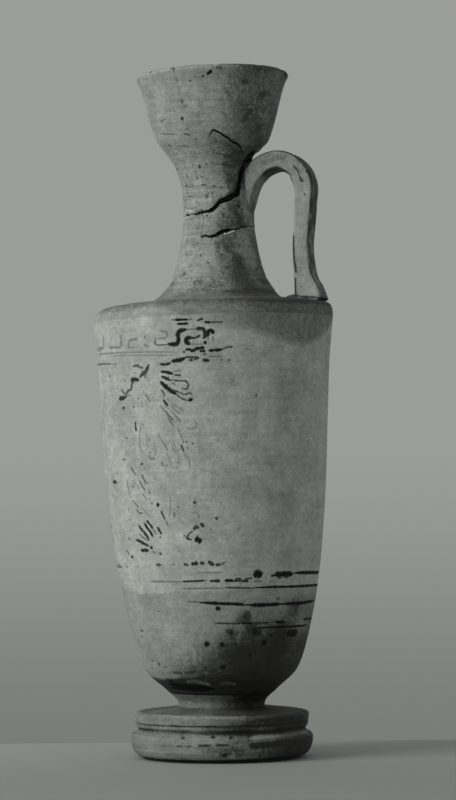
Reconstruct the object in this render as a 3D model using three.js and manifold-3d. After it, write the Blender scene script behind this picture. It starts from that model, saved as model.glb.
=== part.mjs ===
// A lekythos: a tall oil jar that was thrown in sections, luted together with slip, broken at the
// neck and mended. Millimetres, +Z up. The origin is the middle of the foot's flat underside, and
// the handle stands on the +X side. A bearing is an angle about +Z, counted from +X towards +Y.

import * as THREE from 'three';
import { mergeVertices } from 'three/addons/utils/BufferGeometryUtils.js';
import Module from 'manifold-3d';

const wasm = await Module();
wasm.setup();

// Driving dimensions
const RIM_HEIGHT = 300;
const SIDES = 40;
const SHERD_SIDES = 60;
const CLEARANCE = 0.3;
const LUTE = 0.4;
const BREAK_GAP = 1.5;
const GLUE = 0.4;
const GLUE_INSET = 0.7;

// The foot, a disc in two degrees, with a socket for the nub under the body
const STANDING_RADIUS = 34.5;
const LOWER_DEGREE = [[1.2, 37.4], [4.5, 39.4], [7.8, 39.8], [11.3, 39]];
const GROOVE = { radius: 37.7, low: 12.5, high: 13.5 };
const UPPER_DEGREE = { radius: 38.3, low: 14.5, high: 18.5, edge: 37, top: 20.3 };
const FOOT_SEAT = { radius: 18.9, height: 22.2 };
const NUB_RADIUS = 12;
const NUB_BOTTOM = 19.5;

// The body: [height, radius] of its outside and of its inside
const BODY_BOTTOM = 28.9;
const BODY_TOP = 190.6;
const STEM_OUTSIDE = [[22.5, 18.6], [24.9, 19.4], [26.3, 20.5], [28.6, 23]];
const BODY_OUTSIDE = [
  [28.9, 23.3], [33.3, 27.5], [36.8, 32.1], [40.3, 34.4], [47, 36.8], [57.9, 39.7], [72, 42.8],
  [90, 45.3], [121, 48.4], [149, 50], [170, 51], [183, 52], [190.6, 52.7],
];
const BODY_INSIDE = [[39.5, 14], [44, 26], [52, 32.4], [65, 36.6], [90, 40.7], [121, 43.9], [183, 47.4]];
const FLOOR_HEIGHT = 38;
const SOCKET = { radius: 47.9, bottom: 185.6 };

// The shoulder: [radius, height] across its top, from the rounded corner inwards
const SHOULDER_SEAT = 191.6;
const SHOULDER_TOP = [[52.6, 191.6], [52.3, 194], [51.6, 196], [50, 197.3], [44, 198.5], [35, 199.3],
  [29, 200.7], [26, 202.6]];
const SHOULDER_UNDER = [[15.3, 197.3], [35, 194.8], [44.2, 192.4]];
const TENON = { inner: 44.5, outer: 47.6, bottom: 186 };

// The neck and the mouth: [height, radius] of their shared outside and inside
const NECK_SEAT = 203.6;
const NECK_OUTSIDE = [
  [203.6, 25.3], [206.6, 22.9], [210, 20.8], [217.2, 18.5], [223.4, 17.2], [231, 16], [242, 15.6],
  [250.7, 15.8], [256, 16.7], [261.2, 18.5], [266.5, 21.6], [270.9, 24.6], [276.2, 26.7],
  [283.2, 28.6], [292, 30.8], [296, 32.2], [298.8, 33.4], [300, 32.8],
];
const NECK_INSIDE = [
  [198, 13], [205, 11.6], [212, 10.5], [250, 10.5], [260, 10.9], [266, 14.5], [270, 19.5],
  [275, 22.7], [283, 25.3], [292, 27.5], [298.5, 28.9], [300, 29.9],
];
const NECK_TENON = { radius: 15, bottom: 198 };

// The breaks, as bearings in degrees and heights
const NECK_SHERD = { from: -98, to: 75 };
const RIM_SHERD = { from: -122, to: -104, bottom: 286 };
const MOUTH_BREAK = [[-180, 266.5], [-88, 266.5], [-78, 273], [-25, 265.5], [0, 266.5], [180, 266.5]];
const CHIP = { from: -163, to: -108, rise: 6.5, depth: 2.2, filled: 1.3 };

// The handle: [distance from the axis, height] along its middle, from the neck to the shoulder
const HANDLE_PATH = [
  [13, 243], [14.4, 251], [18.6, 258.2], [27.6, 261.4], [35.4, 257.2], [39.2, 246], [39.4, 235],
  [38.8, 222], [39.4, 211], [41.2, 204], [42.8, 196],
];
const STRAP = { thick: 7.8, wide: 13.6, squareness: 5, stations: 34, sides: 16 };
const STRAP_FOOT = { thick: 14, wide: 15.8, from: 0.84 };
const STRAP_LUTE = { thick: 1, spread: 0.8 };

// How the jar settled: each section drifts sideways between two heights, and the top tilts
const DRIFTS = [
  { low: 28, high: 170, by: -2.4 },
  { low: 190, high: 208, by: 2.9 },
  { low: 240, high: 278, by: -2.3 },
];
const TILT = { low: 28, high: 190, degrees: 1.5 };

const { smoothstep, clamp, degToRad, lerp } = THREE.MathUtils;
const point = (radius, height) => new THREE.Vector2(radius, height);
const flipped = ([height, radius]) => [radius, height];

// A smooth function through [at, value] pairs: each span is a cubic, and the slope at a pair is
// that of the line between its two neighbours.
function curveThrough(pairs) {
  const last = pairs.length - 1;
  const slopeAt = (i) => {
    const [before, after] = [pairs[Math.max(i - 1, 0)], pairs[Math.min(i + 1, last)]];
    return (after[1] - before[1]) / (after[0] - before[0]);
  };
  return (at) => {
    const held = clamp(at, pairs[0][0], pairs[last][0]);
    const next = Math.max(pairs.findIndex(([end]) => end >= held), 1);
    const [start, end] = [pairs[next - 1], pairs[next]];
    const span = end[0] - start[0];
    const t = (held - start[0]) / span;
    const rise = (3 - 2 * t) * t * t;
    const bend = t * (1 - t) * span * ((1 - t) * slopeAt(next - 1) - t * slopeAt(next));
    return lerp(start[1], end[1], rise) + bend;
  };
}

// Straight lines through [at, value] pairs, as a function
function linesThrough(pairs) {
  return (at) => {
    const next = Math.max(pairs.findIndex(([end]) => end >= at), 1);
    const [start, end] = [pairs[next - 1], pairs[next]];
    return lerp(start[1], end[1], (at - start[0]) / (end[0] - start[0]));
  };
}

// Evenly spaced values from one number to another, both included
const spread = (from, to, count) => Array.from({ length: count + 1 }, (_, i) => lerp(from, to, i / count));

// Points of a turned outline through [height, radius] pairs, with a point halfway along each span
function trace(pairs) {
  const radiusAt = curveThrough(pairs);
  const heights = pairs.flatMap(([height], i) => (i ? [(pairs[i - 1][0] + height) / 2, height] : [height]));
  return heights.map((height) => [radiusAt(height), height]);
}

const bodyRadius = curveThrough(BODY_OUTSIDE);
const neckRadius = curveThrough(NECK_OUTSIDE);
const boreRadius = curveThrough(NECK_INSIDE);

// Heights of the breaks at a bearing in degrees
const closeness = (bearing) => (1 + Math.cos(degToRad(bearing))) / 2;
const upperBreak = (bearing) => 238 + 24.5 * closeness(bearing) ** 6;
const lowerBreak = (bearing) => 227 + 5 * closeness(bearing) ** 2;
const mouthBreak = linesThrough(MOUTH_BREAK);
const between = (bearing, { from, to }) => bearing > from && bearing < to;

// Bearings round the full turn, with two close ones on each side of a step and one at each corner
function bearings(steps = [], corners = []) {
  const STEP_WIDTH = 0.8;
  const kept = [...corners, ...steps.flatMap((at) => [at - STEP_WIDTH / 2, at + STEP_WIDTH / 2])];
  const even = spread(-180, 180, SHERD_SIDES).slice(1);
  const clear = even.filter((at) => kept.every((other) => Math.abs(other - at) > 2 * STEP_WIDTH));
  return [...kept, ...clear].sort((a, b) => a - b);
}

function facingOut(geometry) {
  const merged = mergeVertices(geometry, 1e-4);
  const corner = [0, 1, 2].map(() => new THREE.Vector3());
  const { index } = merged;
  let volume = 0;
  for (let i = 0; i < index.count; i += 3) {
    corner.forEach((vertex, k) => vertex.fromBufferAttribute(merged.attributes.position, index.getX(i + k)));
    volume += corner[0].dot(corner[1].cross(corner[2]));
  }
  if (volume < 0) {
    merged.setIndex(Array.from(index.array).reverse());
  }
  return merged;
}

// A closed skin over a row of outlines with equally many points, each placed in space by its number
function loft(outlines, place, closed) {
  const size = outlines[0].length;
  const turns = closed ? outlines.length : outlines.length - 1;
  const positions = outlines.flatMap((outline, i) => outline.flatMap((at) => place(i, at).toArray()));
  const faces = [];
  for (let i = 0; i < turns; i += 1) {
    const [row, next] = [i * size, ((i + 1) % outlines.length) * size];
    for (let k = 0; k < size; k += 1) {
      const along = (k + 1) % size;
      faces.push(row + k, next + k, next + along, row + k, next + along, row + along);
    }
  }
  if (!closed) {
    const end = (outlines.length - 1) * size;
    const first = THREE.ShapeUtils.triangulateShape(outlines[0], []);
    const last = THREE.ShapeUtils.triangulateShape(outlines.at(-1), []);
    const flip = THREE.ShapeUtils.area(outlines[0]) < 0 ? 1 : -1;
    const ordered = ([a, b, c], sign, base) => (sign > 0 ? [a, b, c] : [c, b, a]).map((k) => k + base);
    first.forEach((face) => faces.push(...ordered(face, -flip, 0)));
    last.forEach((face) => faces.push(...ordered(face, flip, end)));
  }
  const geometry = new THREE.BufferGeometry();
  geometry.setAttribute('position', new THREE.Float32BufferAttribute(positions, 3));
  geometry.setIndex(faces);
  return facingOut(geometry);
}

// A turned piece from [radius, height] corners; one that doesn't touch the axis closes on itself
function turned(corners) {
  const outline = corners.map(([radius, height]) => point(radius, height));
  const solidToAxis = corners[0][0] === 0;
  const closing = solidToAxis ? [] : [outline[0].clone()];
  const geometry = new THREE.LatheGeometry([...outline, ...closing], SIDES);
  geometry.deleteAttribute('normal');
  geometry.deleteAttribute('uv');
  geometry.rotateX(Math.PI / 2);
  return facingOut(geometry);
}

const polar = (bearing, { x, y }) => new THREE.Vector3(
  x * Math.cos(degToRad(bearing)), x * Math.sin(degToRad(bearing)), y,
);

// A piece of wall between two height lines that change with the bearing. A seat is the list of
// [radius, height] corners under the wall, from its inside to its outside.
function wall({ at, low, high, rows, outside = neckRadius, inside = boreRadius, seat = [], closed = true }) {
  const outlines = at.map((bearing) => {
    const [bottom, top] = [low(bearing), high(bearing)];
    const innerBottom = seat.length ? seat[0][1] : bottom;
    const outer = spread(bottom, top, rows).map((height) => point(outside(height), height));
    const inner = spread(top, innerBottom, rows).map((height) => point(inside(height), height));
    return [...outer, ...inner, ...seat.map(([radius, height]) => point(radius, height))];
  });
  return loft(outlines, (i, corner) => polar(at[i], corner), closed);
}

function solidOf(geometry) {
  const vertProperties = new Float32Array(geometry.attributes.position.array);
  const triVerts = new Uint32Array(geometry.index.array);
  return new wasm.Manifold(new wasm.Mesh({ numProp: 3, vertProperties, triVerts }));
}

function geometryOf(solid) {
  const { vertProperties, triVerts } = solid.getMesh();
  const geometry = new THREE.BufferGeometry();
  geometry.setAttribute('position', new THREE.BufferAttribute(new Float32Array(vertProperties), 3));
  geometry.setIndex(new THREE.BufferAttribute(new Uint32Array(triVerts), 1));
  return geometry;
}

// Thrown sections and the slip that joins them

function foot() {
  const seat = FOOT_SEAT.height;
  const socket = NUB_RADIUS + CLEARANCE;
  const socketFloor = NUB_BOTTOM - CLEARANCE;
  return turned([
    [0, 0], [STANDING_RADIUS, 0], ...LOWER_DEGREE.map(flipped), [GROOVE.radius, GROOVE.low],
    [GROOVE.radius, GROOVE.high], [UPPER_DEGREE.radius, UPPER_DEGREE.low],
    [UPPER_DEGREE.radius, UPPER_DEGREE.high], [UPPER_DEGREE.edge, UPPER_DEGREE.top],
    [FOOT_SEAT.radius, seat], [socket, seat], [socket, socketFloor], [0, socketFloor],
  ]);
}

function footLute() {
  const inner = NUB_RADIUS + CLEARANCE;
  const outside = trace(STEM_OUTSIDE);
  return turned([[inner, outside[0][1]], ...outside, [inner, outside.at(-1)[1]]]);
}

function body() {
  const inside = trace(BODY_INSIDE).reverse();
  return turned([
    [0, NUB_BOTTOM], [NUB_RADIUS, NUB_BOTTOM], [NUB_RADIUS, BODY_BOTTOM], ...trace(BODY_OUTSIDE),
    [SOCKET.radius, BODY_TOP], [SOCKET.radius, SOCKET.bottom], ...inside, [0, FLOOR_HEIGHT],
  ]);
}

function shoulderLute() {
  const [inner, outer] = [SOCKET.radius, bodyRadius(BODY_TOP) - CLEARANCE];
  const bottom = BODY_TOP + CLEARANCE;
  return turned([[inner, bottom], [outer, bottom], [outer, bottom + LUTE], [inner, bottom + LUTE]]);
}

function shoulder() {
  return turned([
    [TENON.outer, TENON.bottom], [TENON.outer, SHOULDER_SEAT], ...SHOULDER_TOP,
    [NECK_TENON.radius + CLEARANCE, SHOULDER_TOP.at(-1)[1]], ...SHOULDER_UNDER, [TENON.inner, TENON.bottom],
  ]);
}

function neckLute() {
  const [inner, outer] = [NECK_TENON.radius + CLEARANCE, neckRadius(NECK_SEAT) - CLEARANCE];
  const bottom = SHOULDER_TOP.at(-1)[1] + CLEARANCE;
  return turned([[inner, bottom], [outer, bottom], [outer, bottom + LUTE], [inner, bottom + LUTE]]);
}

// Sherds of the broken neck and mouth

function lowerNeck() {
  const topOf = (bearing) => (between(bearing, NECK_SHERD) ? lowerBreak(bearing) : upperBreak(bearing));
  const { radius, bottom } = NECK_TENON;
  return wall({
    at: bearings([NECK_SHERD.from, NECK_SHERD.to]),
    low: () => NECK_SEAT,
    high: (bearing) => topOf(bearing) - BREAK_GAP / 2,
    rows: 7,
    seat: [[boreRadius(bottom), bottom], [radius, bottom], [radius, NECK_SEAT]],
  });
}

// The bearings of a sherd: those of the full turn that lie inside it, and its two ends, which keep
// clear of the step on each side of the gap that it fills
const fullTurn = bearings([], MOUTH_BREAK.slice(1, -1).map(([bearing]) => bearing));

function sherdBearings({ from, to }, clear) {
  const ends = { from: from + clear, to: to - clear };
  return [ends.from, ...fullTurn.filter((bearing) => between(bearing, ends)), ends.to];
}

const SHERD_CLEAR = 2;
const RIM_CLEAR = 1.2;

function neckSherd() {
  return wall({
    at: sherdBearings(NECK_SHERD, SHERD_CLEAR),
    low: (bearing) => lowerBreak(bearing) + BREAK_GAP / 2,
    high: (bearing) => upperBreak(bearing) - BREAK_GAP / 2,
    rows: 4,
    closed: false,
  });
}

// The chip in the lower edge of the upper neck, as a block deep enough to cut it
function chip({ grow, inset }) {
  return wall({
    at: sherdBearings(CHIP, -grow),
    low: (bearing) => upperBreak(bearing) + BREAK_GAP / 2 - 2 * grow,
    high: (bearing) => upperBreak(bearing) + CHIP.rise + grow,
    rows: 3,
    outside: (height) => neckRadius(height) + inset,
    inside: (height) => neckRadius(height) - CHIP.depth - grow,
    closed: false,
  });
}

function upperNeck() {
  const whole = wall({
    at: fullTurn,
    low: (bearing) => upperBreak(bearing) + BREAK_GAP / 2,
    high: (bearing) => mouthBreak(bearing) - BREAK_GAP / 2,
    rows: 5,
  });
  return geometryOf(solidOf(whole).subtract(solidOf(chip({ grow: CLEARANCE, inset: CHIP.depth }))));
}

function plasterFill() {
  return chip({ grow: 0, inset: CHIP.filled - CHIP.depth });
}

function mouth() {
  const topOf = (bearing) => (between(bearing, RIM_SHERD) ? RIM_SHERD.bottom - BREAK_GAP / 2 : RIM_HEIGHT);
  return wall({
    at: bearings([RIM_SHERD.from, RIM_SHERD.to], MOUTH_BREAK.slice(1, -1).map(([bearing]) => bearing)),
    low: (bearing) => mouthBreak(bearing) + BREAK_GAP / 2,
    high: topOf,
    rows: 8,
  });
}

function rimSherd() {
  return wall({
    at: sherdBearings(RIM_SHERD, RIM_CLEAR),
    low: () => RIM_SHERD.bottom + BREAK_GAP / 2,
    high: () => RIM_HEIGHT,
    rows: 5,
    closed: false,
  });
}

// Glue in a break, set back from both faces of the wall
function glue(at, heightOf, closed) {
  return wall({
    at,
    low: (bearing) => heightOf(bearing) - GLUE / 2,
    high: (bearing) => heightOf(bearing) + GLUE / 2,
    rows: 1,
    outside: (height) => neckRadius(height) - GLUE_INSET,
    inside: (height) => boreRadius(height) + GLUE_INSET,
    closed,
  });
}

// The handle and its lutes

// The strap: a rounded section carried along the path, spreading where it stands on the shoulder
function strap(spreadBy) {
  const path = new THREE.CatmullRomCurve3(HANDLE_PATH.map(([x, z]) => new THREE.Vector3(x, 0, z)));
  const along = spread(0, 1, STRAP.stations);
  const rounded = (value) => Math.sign(value) * Math.abs(value) ** (2 / STRAP.squareness);
  const outlines = along.map((t) => {
    const footing = smoothstep(t, STRAP_FOOT.from, 1);
    const thick = lerp(STRAP.thick, STRAP_FOOT.thick, footing) / 2 + spreadBy;
    const wide = lerp(STRAP.wide, STRAP_FOOT.wide, footing) / 2 + spreadBy;
    const turns = spread(0, 2 * Math.PI, STRAP.sides).slice(1);
    return turns.map((turn) => point(thick * rounded(Math.cos(turn)), wide * rounded(Math.sin(turn))));
  });
  const place = (i, { x, y }) => {
    const [middle, heading] = [path.getPointAt(along[i]), path.getTangentAt(along[i])];
    return new THREE.Vector3(middle.x + heading.z * x, y, middle.z - heading.x * x);
  };
  return solidOf(loft(outlines, place, false));
}

// Everything within a distance of the neck's outside, at the height of the handle
function neckGrown(by) {
  const heights = spread(236, 274, 16);
  return solidOf(turned([[0, heights[0]], ...heights.map((z) => [neckRadius(z) + by, z]), [0, heights.at(-1)]]));
}

// Everything under a line held above the top of the shoulder
function shoulderGrown(by) {
  const top = SHOULDER_TOP.map(([radius, height]) => [radius + by, height + by]);
  return solidOf(turned([[0, TENON.bottom], [top[0][0], TENON.bottom], ...top, [0, top.at(-1)[1]]]));
}

const LUTE_TOP = CLEARANCE + STRAP_LUTE.thick;
const STRAP_END = LUTE_TOP + CLEARANCE;

function handle() {
  return geometryOf(strap(0).subtract(neckGrown(STRAP_END)).subtract(shoulderGrown(STRAP_END)));
}

function handleUpperLute() {
  const shell = neckGrown(LUTE_TOP).subtract(neckGrown(CLEARANCE));
  return geometryOf(strap(STRAP_LUTE.spread).intersect(shell));
}

function handleLowerLute() {
  const shell = shoulderGrown(LUTE_TOP).subtract(shoulderGrown(CLEARANCE));
  return geometryOf(strap(STRAP_LUTE.spread).intersect(shell));
}

// Settles a finished piece with the jar: sideways drift, and the tilt of the upper part
function settled(geometry) {
  const { position } = geometry.attributes;
  for (let i = 0; i < position.count; i += 1) {
    const [x, z] = [position.getX(i), position.getZ(i)];
    const drift = DRIFTS.reduce((sum, { low, high, by }) => sum + by * smoothstep(z, low, high), 0);
    const tilt = Math.tan(degToRad(TILT.degrees)) * smoothstep(z, TILT.low, TILT.high);
    position.setXYZ(i, x + drift, position.getY(i), z + x * tilt);
  }
  geometry.computeVertexNormals();
  return geometry;
}

const FINISHES = {
  slip: { color: 0xb7b4a9, roughness: 0.85, metalness: 0 },
  clay: { color: 0x928c80, roughness: 0.9, metalness: 0 },
  glaze: { color: 0x5b5750, roughness: 0.5, metalness: 0 },
  plaster: { color: 0xd3d1c8, roughness: 0.95, metalness: 0 },
  glue: { color: 0x2f2a25, roughness: 0.7, metalness: 0 },
};

const PIECES = [
  ['foot', foot(), 'glaze'],
  ['foot_lute', footLute(), 'clay'],
  ['body', body(), 'slip'],
  ['shoulder_lute', shoulderLute(), 'clay'],
  ['shoulder', shoulder(), 'clay'],
  ['neck_lute', neckLute(), 'clay'],
  ['lower_neck', lowerNeck(), 'glaze'],
  ['neck_sherd', neckSherd(), 'glaze'],
  ['lower_glue', glue(sherdBearings(NECK_SHERD, SHERD_CLEAR), lowerBreak, false), 'glue'],
  ['upper_neck', upperNeck(), 'glaze'],
  ['upper_glue', glue(fullTurn, upperBreak, true), 'glue'],
  ['plaster_fill', plasterFill(), 'plaster'],
  ['mouth', mouth(), 'glaze'],
  ['mouth_glue', glue(fullTurn, mouthBreak, true), 'glue'],
  ['rim_sherd', rimSherd(), 'glaze'],
  ['handle', handle(), 'glaze'],
  ['handle_upper_lute', handleUpperLute(), 'clay'],
  ['handle_lower_lute', handleLowerLute(), 'clay'],
];

const lekythos = new THREE.Group();
lekythos.name = 'lekythos';
for (const [name, geometry, finish] of PIECES) {
  const mesh = new THREE.Mesh(settled(geometry), new THREE.MeshStandardMaterial(FINISHES[finish]));
  mesh.name = name;
  lekythos.add(mesh);
}

export default lekythos;
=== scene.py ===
# %% [markdown]
# # A mended lekythos
# This lesson dresses a tall ceramic oil jar. The jar was thrown in sections, joined with slip, painted,
# fired, broken at the neck and glued together again. Each piece below is a surface worked out with numpy:
# a height and a bearing go in, and a point on the clay comes out.

# %% Load the frame
import math

import bpy
import numpy as np
from mathutils import Matrix, Vector


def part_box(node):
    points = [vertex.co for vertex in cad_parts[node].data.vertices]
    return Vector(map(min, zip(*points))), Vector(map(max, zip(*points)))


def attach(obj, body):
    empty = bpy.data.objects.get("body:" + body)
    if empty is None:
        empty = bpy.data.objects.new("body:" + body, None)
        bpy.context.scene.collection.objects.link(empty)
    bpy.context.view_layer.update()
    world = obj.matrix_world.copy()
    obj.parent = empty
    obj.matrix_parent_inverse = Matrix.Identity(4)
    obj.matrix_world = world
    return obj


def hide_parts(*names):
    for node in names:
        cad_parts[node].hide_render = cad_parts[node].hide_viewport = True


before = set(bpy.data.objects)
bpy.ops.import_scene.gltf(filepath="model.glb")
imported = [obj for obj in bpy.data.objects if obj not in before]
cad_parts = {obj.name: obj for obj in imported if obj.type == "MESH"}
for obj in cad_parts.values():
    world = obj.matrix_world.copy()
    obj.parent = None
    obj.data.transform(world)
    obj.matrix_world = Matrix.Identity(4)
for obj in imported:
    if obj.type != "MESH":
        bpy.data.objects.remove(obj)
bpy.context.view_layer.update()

# %% [markdown]
# ## Curves, easing and slow noise
# A potter's profile is a smooth line through a few measured heights. Here a cubic runs between each pair
# of points, with the slope of the line between their neighbours, so one short list gives a whole outline.
# The noise is a lattice of random numbers that closes on itself round the jar. Bearings are in radians
# from the handle, heights and radii are in millimetres, and meshes turn them into metres.

# %% Curves, easing and noise
MM = 0.001
TURN = 2 * np.pi
LATTICE_TOP = 330
TINY = 1e-9
RIM_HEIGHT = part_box("rim_sherd")[1][2] / MM


def ease(x, low, high):
    """0 below low, 1 above high, and the cubic 3t^2 - 2t^3 between them."""
    t = np.clip((x - low) / (high - low), 0.0, 1.0)
    return t * t * (3 - 2 * t)


def bell(x, middle, width):
    """1 in the middle, falling to both sides: e to minus the square of the distance over the width."""
    return np.exp(-(((x - middle) / width) ** 2))


def curve_through(pairs):
    """A function through (at, value) pairs: a cubic on each span.

    The slope at a pair is that of the line between its neighbours, and at an end that of the end's span.
    """
    at, value = np.array(pairs, float).T
    slope = np.gradient(value, at)
    slope[1:-1] = (value[2:] - value[:-2]) / (at[2:] - at[:-2])

    def curve(x):
        held = np.clip(x, at[0], at[-1])
        i = np.clip(np.searchsorted(at, held, side="left") - 1, 0, len(at) - 2)
        span = at[i + 1] - at[i]
        t = (held - at[i]) / span
        bend = t * (1 - t) * span * ((1 - t) * slope[i] - t * slope[i + 1])
        return value[i] + (value[i + 1] - value[i]) * t * t * (3 - 2 * t) + bend

    return curve


def lines_through(pairs):
    """A function of straight lines through (at, value) pairs."""
    at, value = np.array(pairs, float).T
    return lambda x: np.interp(x, at, value)


def mottle(bearing, height, around, tall, seed):
    """Random values from -1 to 1 on a lattice of `around` cells a turn and `tall` mm, eased between."""
    rows = int(LATTICE_TOP / tall) + 4
    lattice = np.random.default_rng(seed).uniform(-1, 1, (rows, around))
    u = (np.asarray(bearing) / TURN * around) % around
    v = np.clip(np.asarray(height) / tall + 1, 0, rows - 2.001)
    i, j = np.floor(u).astype(int), np.floor(v).astype(int)
    fu, fv = ease(u - i, 0, 1), ease(v - j, 0, 1)
    low = lattice[j, i % around] * (1 - fu) + lattice[j, (i + 1) % around] * fu
    high = lattice[j + 1, i % around] * (1 - fu) + lattice[j + 1, (i + 1) % around] * fu
    return low * (1 - fv) + high * fv


def round_noise(bearing, cells, seed):
    """Noise that changes only round the jar."""
    return mottle(bearing, 0 * bearing, cells, LATTICE_TOP, seed)


print("rim at", RIM_HEIGHT, "mm")

# %% [markdown]
# ## The profile and how the jar settled
# The outside of body, neck and mouth are the profiles that the solids have. The fired jar isn't true: the
# body leans from the handle, the neck was set a little off the middle, and the top tilts up on the
# handle's side. Each piece is made straight first and settled last, so that neighbours still meet.

# %% Profiles and settling
BODY_OUTSIDE = curve_through([
    (28.9, 23.3), (31.2, 25.9), (33.6, 28.9), (36.6, 32), (40.3, 34.3), (47, 36.8), (57.9, 39.7),
    (72, 42.8), (90, 45.3), (121, 48.4), (149, 50), (170, 51), (183, 52), (190.6, 52.7),
])
BODY_INSIDE = curve_through([
    (39.5, 14), (44, 26), (52, 32.4), (65, 36.6), (90, 40.7), (121, 43.9), (183, 47.4),
])
NECK_OUTSIDE = curve_through([
    (203.6, 25.3), (206.6, 22.9), (210, 20.8), (217.2, 18.5), (223.4, 17.2), (231, 16), (242, 15.6),
    (250.7, 15.8), (256, 16.7), (261.2, 18.5), (266.5, 21.6), (270.9, 24.6), (276.2, 26.7),
    (283.2, 28.6), (292, 30.8), (296, 32.2), (298.8, 33.4), (300, 32.8),
])
NECK_INSIDE = curve_through([
    (198, 13), (205, 11.6), (212, 10.5), (250, 10.5), (260, 10.9), (266, 14.5), (270, 19.5),
    (275, 22.7), (283, 25.3), (292, 27.5), (298.5, 28.9), (300, 29.9),
])
DRIFTS = [(28, 170, -2.4), (190, 208, 2.9), (240, 278, -2.3)]
TILT_FROM, TILT_TO, TILT = 28, 190, math.tan(math.radians(1.5))


def settle(bearing, radius, height):
    """Settled points from bearing, radius and height: x gains the drifts, z gains x times the tilt."""
    x, y = radius * np.cos(bearing), radius * np.sin(bearing)
    drift = sum(by * ease(height, low, high) for low, high, by in DRIFTS)
    tilt = TILT * ease(height, TILT_FROM, TILT_TO)
    return np.stack([x + drift, y, height + x * tilt], axis=-1)


def settle_points(points):
    """The same for points that are already x, y and z."""
    x, y, z = np.moveaxis(np.asarray(points, float), -1, 0)
    return settle(np.arctan2(y, x), np.hypot(x, y), z)


print("body radius at mid height", float(BODY_OUTSIDE(110)), "mm")

# %% [markdown]
# ## From a grid of points to a mesh
# A grid has rows and columns, and either can close on itself. Rows that shrink to a line or a point leave
# doubled vertices, so equal points are welded and the faces that collapse are dropped. The signed volume
# tells whether the skin faces out. Fields, such as how much glaze is left, go along as point attributes.

# %% Grid to mesh
SHARP_ANGLE = math.radians(50)


def grid_faces(rows, columns, wrap_rows, wrap_columns):
    """Index quads of a grid whose rows or columns may close on themselves."""
    i = np.arange(rows if wrap_rows else rows - 1)[:, None]
    j = np.arange(columns if wrap_columns else columns - 1)[None, :]
    i_next, j_next = (i + 1) % rows, (j + 1) % columns
    corners = [i * columns + j, i_next * columns + j, i_next * columns + j_next, i * columns + j_next]
    return np.stack(np.broadcast_arrays(*corners), axis=-1).reshape(-1, 4)


def welded(points, faces, fields):
    """Merges equal points, drops collapsed faces and turns the skin outwards; gives quads and triangles."""
    _, first, inverse = np.unique(np.round(points, 5), axis=0, return_index=True, return_inverse=True)
    faces = inverse.reshape(-1)[faces]
    same = faces == np.roll(faces, -1, axis=1)
    quads = faces[same.sum(1) == 0]
    threes, gap = faces[same.sum(1) == 1], same[same.sum(1) == 1]
    triangles = threes[~gap].reshape(-1, 3)
    points = points[first]
    a, b, c, d = (points[quads[:, k]] for k in range(4))
    volume = np.einsum("ij,ij->", a, np.cross(b, c)) + np.einsum("ij,ij->", a, np.cross(c, d))
    p, q, r = (points[triangles[:, k]] for k in range(3))
    volume += np.einsum("ij,ij->", p, np.cross(q, r))
    if volume < 0:
        quads, triangles = quads[:, ::-1], triangles[:, ::-1]
    return points, quads, triangles, {name: np.asarray(field)[first] for name, field in fields.items()}


def placed(name, data):
    """A new object of the scene with the given data."""
    thing = bpy.data.objects.new(name, data)
    bpy.context.scene.collection.objects.link(thing)
    return thing


def add_piece(name, points, quads, triangles, fields):
    """A mesh object in metres at the origin, smooth apart from sharp edges, riding on the root body."""
    mesh = bpy.data.meshes.new(name)
    mesh.from_pydata((points * MM).tolist(), [], quads.tolist() + triangles.tolist())
    mesh.polygons.foreach_set("use_smooth", np.ones(len(mesh.polygons), bool))
    for field, values in fields.items():
        layer = mesh.attributes.new(field, "FLOAT", "POINT")
        layer.data.foreach_set("value", np.ascontiguousarray(values, dtype=np.float32))
    mesh.set_sharp_from_angle(angle=SHARP_ANGLE)
    mesh.update()
    piece = placed(name, mesh)
    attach(piece, "root")
    print(name, len(mesh.vertices), "vertices,", len(quads) * 2 + len(triangles), "triangles")
    return piece


def skin(name, points, fields, wrap_rows=True, wrap_columns=True):
    """A closed piece from a grid of settled points, rows by columns, and its fields."""
    rows, columns = points.shape[:2]
    faces = grid_faces(rows, columns, wrap_rows, wrap_columns)
    flat = {field: np.broadcast_to(values, (rows, columns)).reshape(-1) for field, values in fields.items()}
    return add_piece(name, *welded(points.reshape(-1, 3), faces, flat))


def along(corners, step):
    """Points along straight lines through corners, at most step apart, with each corner kept."""
    corners = np.array(corners, float)
    parts = [corners[:1]]
    for start, end in zip(corners[:-1], corners[1:]):
        count = max(int(np.ceil(np.linalg.norm(end - start) / step)), 1)
        parts.append(start + (end - start) * (np.arange(1, count + 1) / count)[:, None])
    return np.concatenate(parts)


print("mesh helpers ready")

# %% [markdown]
# ## What the clay carries: slip, glaze, soil and painted shade
# Four fields say what covers the clay at a bearing and a height. The first is how much dark glaze is left,
# and painted shade with it: it is heavier on the handle's side, which faces away from the lamp, and lighter
# on the side that faces the lamp. `slip` is the distance in millimetres inside the edge of the pale slip,
# which runs in a scallop under each side of the handle. `soil` is grime, and `bare` is 1 on breaks and
# inside the jar. Materials turn them into sharp edges with finer noise.

# %% Fields
DEGREE = math.pi / 180
# Middle of the darker side, away from the lamp: its dark glaze is partly painted shade.
DARK_AND_SHADED_BEARING = 8 * DEGREE
SLIP_TOP = curve_through([
    (-180, 195.4), (-110, 195.4), (-97, 194), (-88, 190.5), (-78, 186), (-59, 183.6), (-34, 177.4),
    (-25, 176.9), (-3, 184), (15, 189), (32, 183), (47, 177.5), (62, 177), (80, 184), (95, 191),
    (110, 195), (180, 195.4),
])
SLIP_BOTTOM = 73.0
SLIP_REACH = 12.0
SLIP_EDGE = (-0.5, 0.7)
NO_SLIP = -SLIP_REACH
BODY_MIDDLE = 48
SLIP_HEM = curve_through([
    (-180, 5), (-165, 5), (-152, 2), (-139, 0.1), (-120, -0.9), (-95, 0.7), (-77, 0.7), (-55, 1.9),
    (0, 2), (180, 5),
])


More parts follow.
